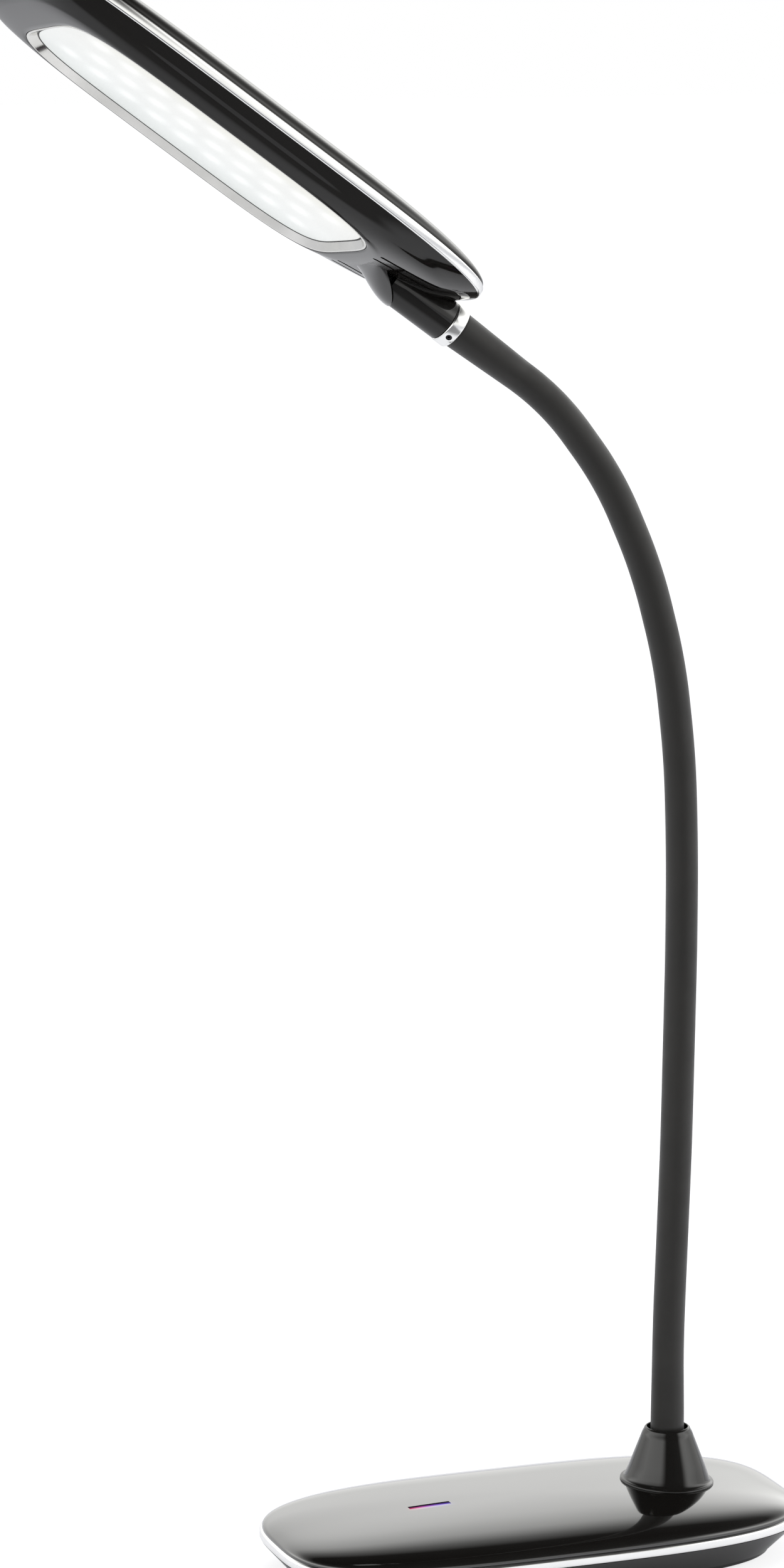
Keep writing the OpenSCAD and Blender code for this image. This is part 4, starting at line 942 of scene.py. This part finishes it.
def add_camera():
    """The photograph's viewpoint: 70 degrees round from +X and a little above, 1.8 m away."""
    azimuth, pitch = math.radians(70.0), math.radians(9.92)
    eye = Vector((620.3, 1563.6, 566.5)) * MM
    gaze = Vector((-math.cos(azimuth) * math.cos(pitch), -math.sin(azimuth) * math.cos(pitch),
                   -math.sin(pitch)))
    lens = bpy.data.cameras.new("camera")
    lens.lens = 116.6
    lens.sensor_width = 36.0
    lens.sensor_fit = "AUTO"
    lens.clip_start, lens.clip_end = 0.05, 100.0
    camera = bpy.data.objects.new("camera", lens)
    camera.location = eye
    camera.rotation_euler = gaze.to_track_quat("-Z", "Y").to_euler()
    bpy.context.scene.collection.objects.link(camera)
    bpy.context.scene.camera = camera


add_camera()

# ---------------------------------------------------------------- studio

SKY_TOP = 3.0  # the brightest level in the sky


def empty_tree(owner):
    owner.use_nodes = True
    tree = owner.node_tree
    for node in list(tree.nodes):
        tree.nodes.remove(node)
    return tree


def sky_ramp(tree, rise, levels):
    """Brightness by the sine of the height above the horizon."""
    return colour_ramp(tree, rise, [(place, [level / SKY_TOP, level / SKY_TOP, level / SKY_TOP * 0.98])
                                    for place, level in levels])


def studio_world():
    """Mirrors see a bright sweep behind the lamp, a dim room on the camera's side and a bright wall at each
    end. The camera sees white, and everything else is lit by a plain sky."""
    world = bpy.data.worlds.new("studio")
    bpy.context.scene.world = world
    tree = empty_tree(world)
    rays = tree.nodes.new("ShaderNodeLightPath").outputs
    way = axes(tree, tree.nodes.new("ShaderNodeTexCoord").outputs["Generated"])

    behind = sky_ramp(tree, way["Z"], [(0.0, 1.1), (0.15, 1.15), (0.30, 1.5), (0.42, 1.5), (0.54, 1.2),
                                       (0.65, 0.45), (0.76, 0.03), (1.0, 0.01)])
    before = sky_ramp(tree, way["Z"], [(0.0, 1.1), (0.14, 1.1), (0.24, 0.32), (0.40, 0.08), (1.0, 0.03)])
    beside = sky_ramp(tree, way["Z"], [(0.0, 1.2), (0.16, 1.6), (0.28, 2.8), (0.40, 2.4), (0.56, 0.8),
                                       (0.70, 0.1), (1.0, 0.03)])
    to_front = map_range(tree, way["Y"], (-0.25, 0.25), smooth=True)
    to_side = map_range(tree, calc(tree, "ABSOLUTE", way["X"]), (0.36, 0.66), smooth=True)
    sky = mix_colours(tree, to_side, mix_colours(tree, to_front, behind, before), beside)

    seen = plain_shader(tree, "ShaderNodeBackground", Color=(1, 1, 1, 1), Strength=1.0)
    mirror = plain_shader(tree, "ShaderNodeBackground", Color=sky, Strength=SKY_TOP)
    plain = plain_shader(tree, "ShaderNodeBackground", Color=(0.95, 0.96, 1.0, 1), Strength=0.75)
    in_gloss = calc(tree, "MAXIMUM", rays["Is Glossy Ray"], rays["Is Transmission Ray"])
    light = mix_shaders(tree, in_gloss, plain, mirror)
    out = tree.nodes.new("ShaderNodeOutputWorld")
    tree.links.new(mix_shaders(tree, rays["Is Camera Ray"], light, seen), out.inputs["Surface"])


def floor_material():
    """White to the camera, with the lamp's shadow. Mirrors see it fade on the camera's side, but not beyond
    the base's rear end."""
    mat = bpy.data.materials.new("floor")
    tree = empty_tree(mat)
    rays = tree.nodes.new("ShaderNodeLightPath").outputs
    place = axes(tree, tree.nodes.new("ShaderNodeNewGeometry").outputs["Position"])

    glow = plain_shader(tree, "ShaderNodeEmission", Strength=0.78)
    pale = plain_shader(tree, "ShaderNodeBsdfDiffuse", Color=(0.42, 0.42, 0.42, 1))
    shown = tree.nodes.new("ShaderNodeAddShader")
    tree.links.new(pale, shown.inputs[0])
    tree.links.new(glow, shown.inputs[1])

    near = map_range(tree, place["Y"], (0.25, 0.60), (1.0, 0.25), smooth=True)
    beyond = map_range(tree, place["X"], (-0.5, -0.25), (1.0, 0.0), smooth=True)
    mirrored = plain_shader(tree, "ShaderNodeBsdfDiffuse", Color=calc(tree, "MAXIMUM", near, beyond))
    matte = plain_shader(tree, "ShaderNodeBsdfDiffuse", Color=(0.85, 0.85, 0.85, 1))
    unseen = mix_shaders(tree, rays["Is Glossy Ray"], matte, mirrored)
    out = tree.nodes.new("ShaderNodeOutputMaterial")
    final = mix_shaders(tree, rays["Is Camera Ray"], unseen, shown.outputs[0])
    tree.links.new(final, out.inputs["Surface"])
    return mat


def studio_floor():
    half = 12.0
    mesh = bpy.data.meshes.new("floor")
    corners = [(-half, -half, 0), (half, -half, 0), (half, half, 0), (-half, half, 0)]
    mesh.from_pydata(corners, [], [(0, 1, 2, 3)])
    floor = bpy.data.objects.new("floor", mesh)
    bpy.context.scene.collection.objects.link(floor)
    mesh.materials.append(floor_material())


def soft_lamp(name, place, target, size, power):
    """A soft lamp that mirrors don't show."""
    data = bpy.data.lights.new(name, "AREA")
    data.shape = "RECTANGLE"
    data.size, data.size_y = size
    data.energy = power
    lamp = bpy.data.objects.new(name, data)
    lamp.location = place
    lamp.rotation_euler = (Vector(target) - Vector(place)).to_track_quat("-Z", "Y").to_euler()
    lamp.visible_glossy = False
    bpy.context.scene.collection.objects.link(lamp)


studio_world()
studio_floor()
soft_lamp("overhead", (0.1, 0.2, 1.9), (0, 0, 0.2), (1.6, 1.6), 9)
soft_lamp("side", (-1.2, 0.9, 0.9), (0, 0, 0.25), (0.9, 1.2), 7)
bpy.context.scene.view_settings.view_transform = "Standard"
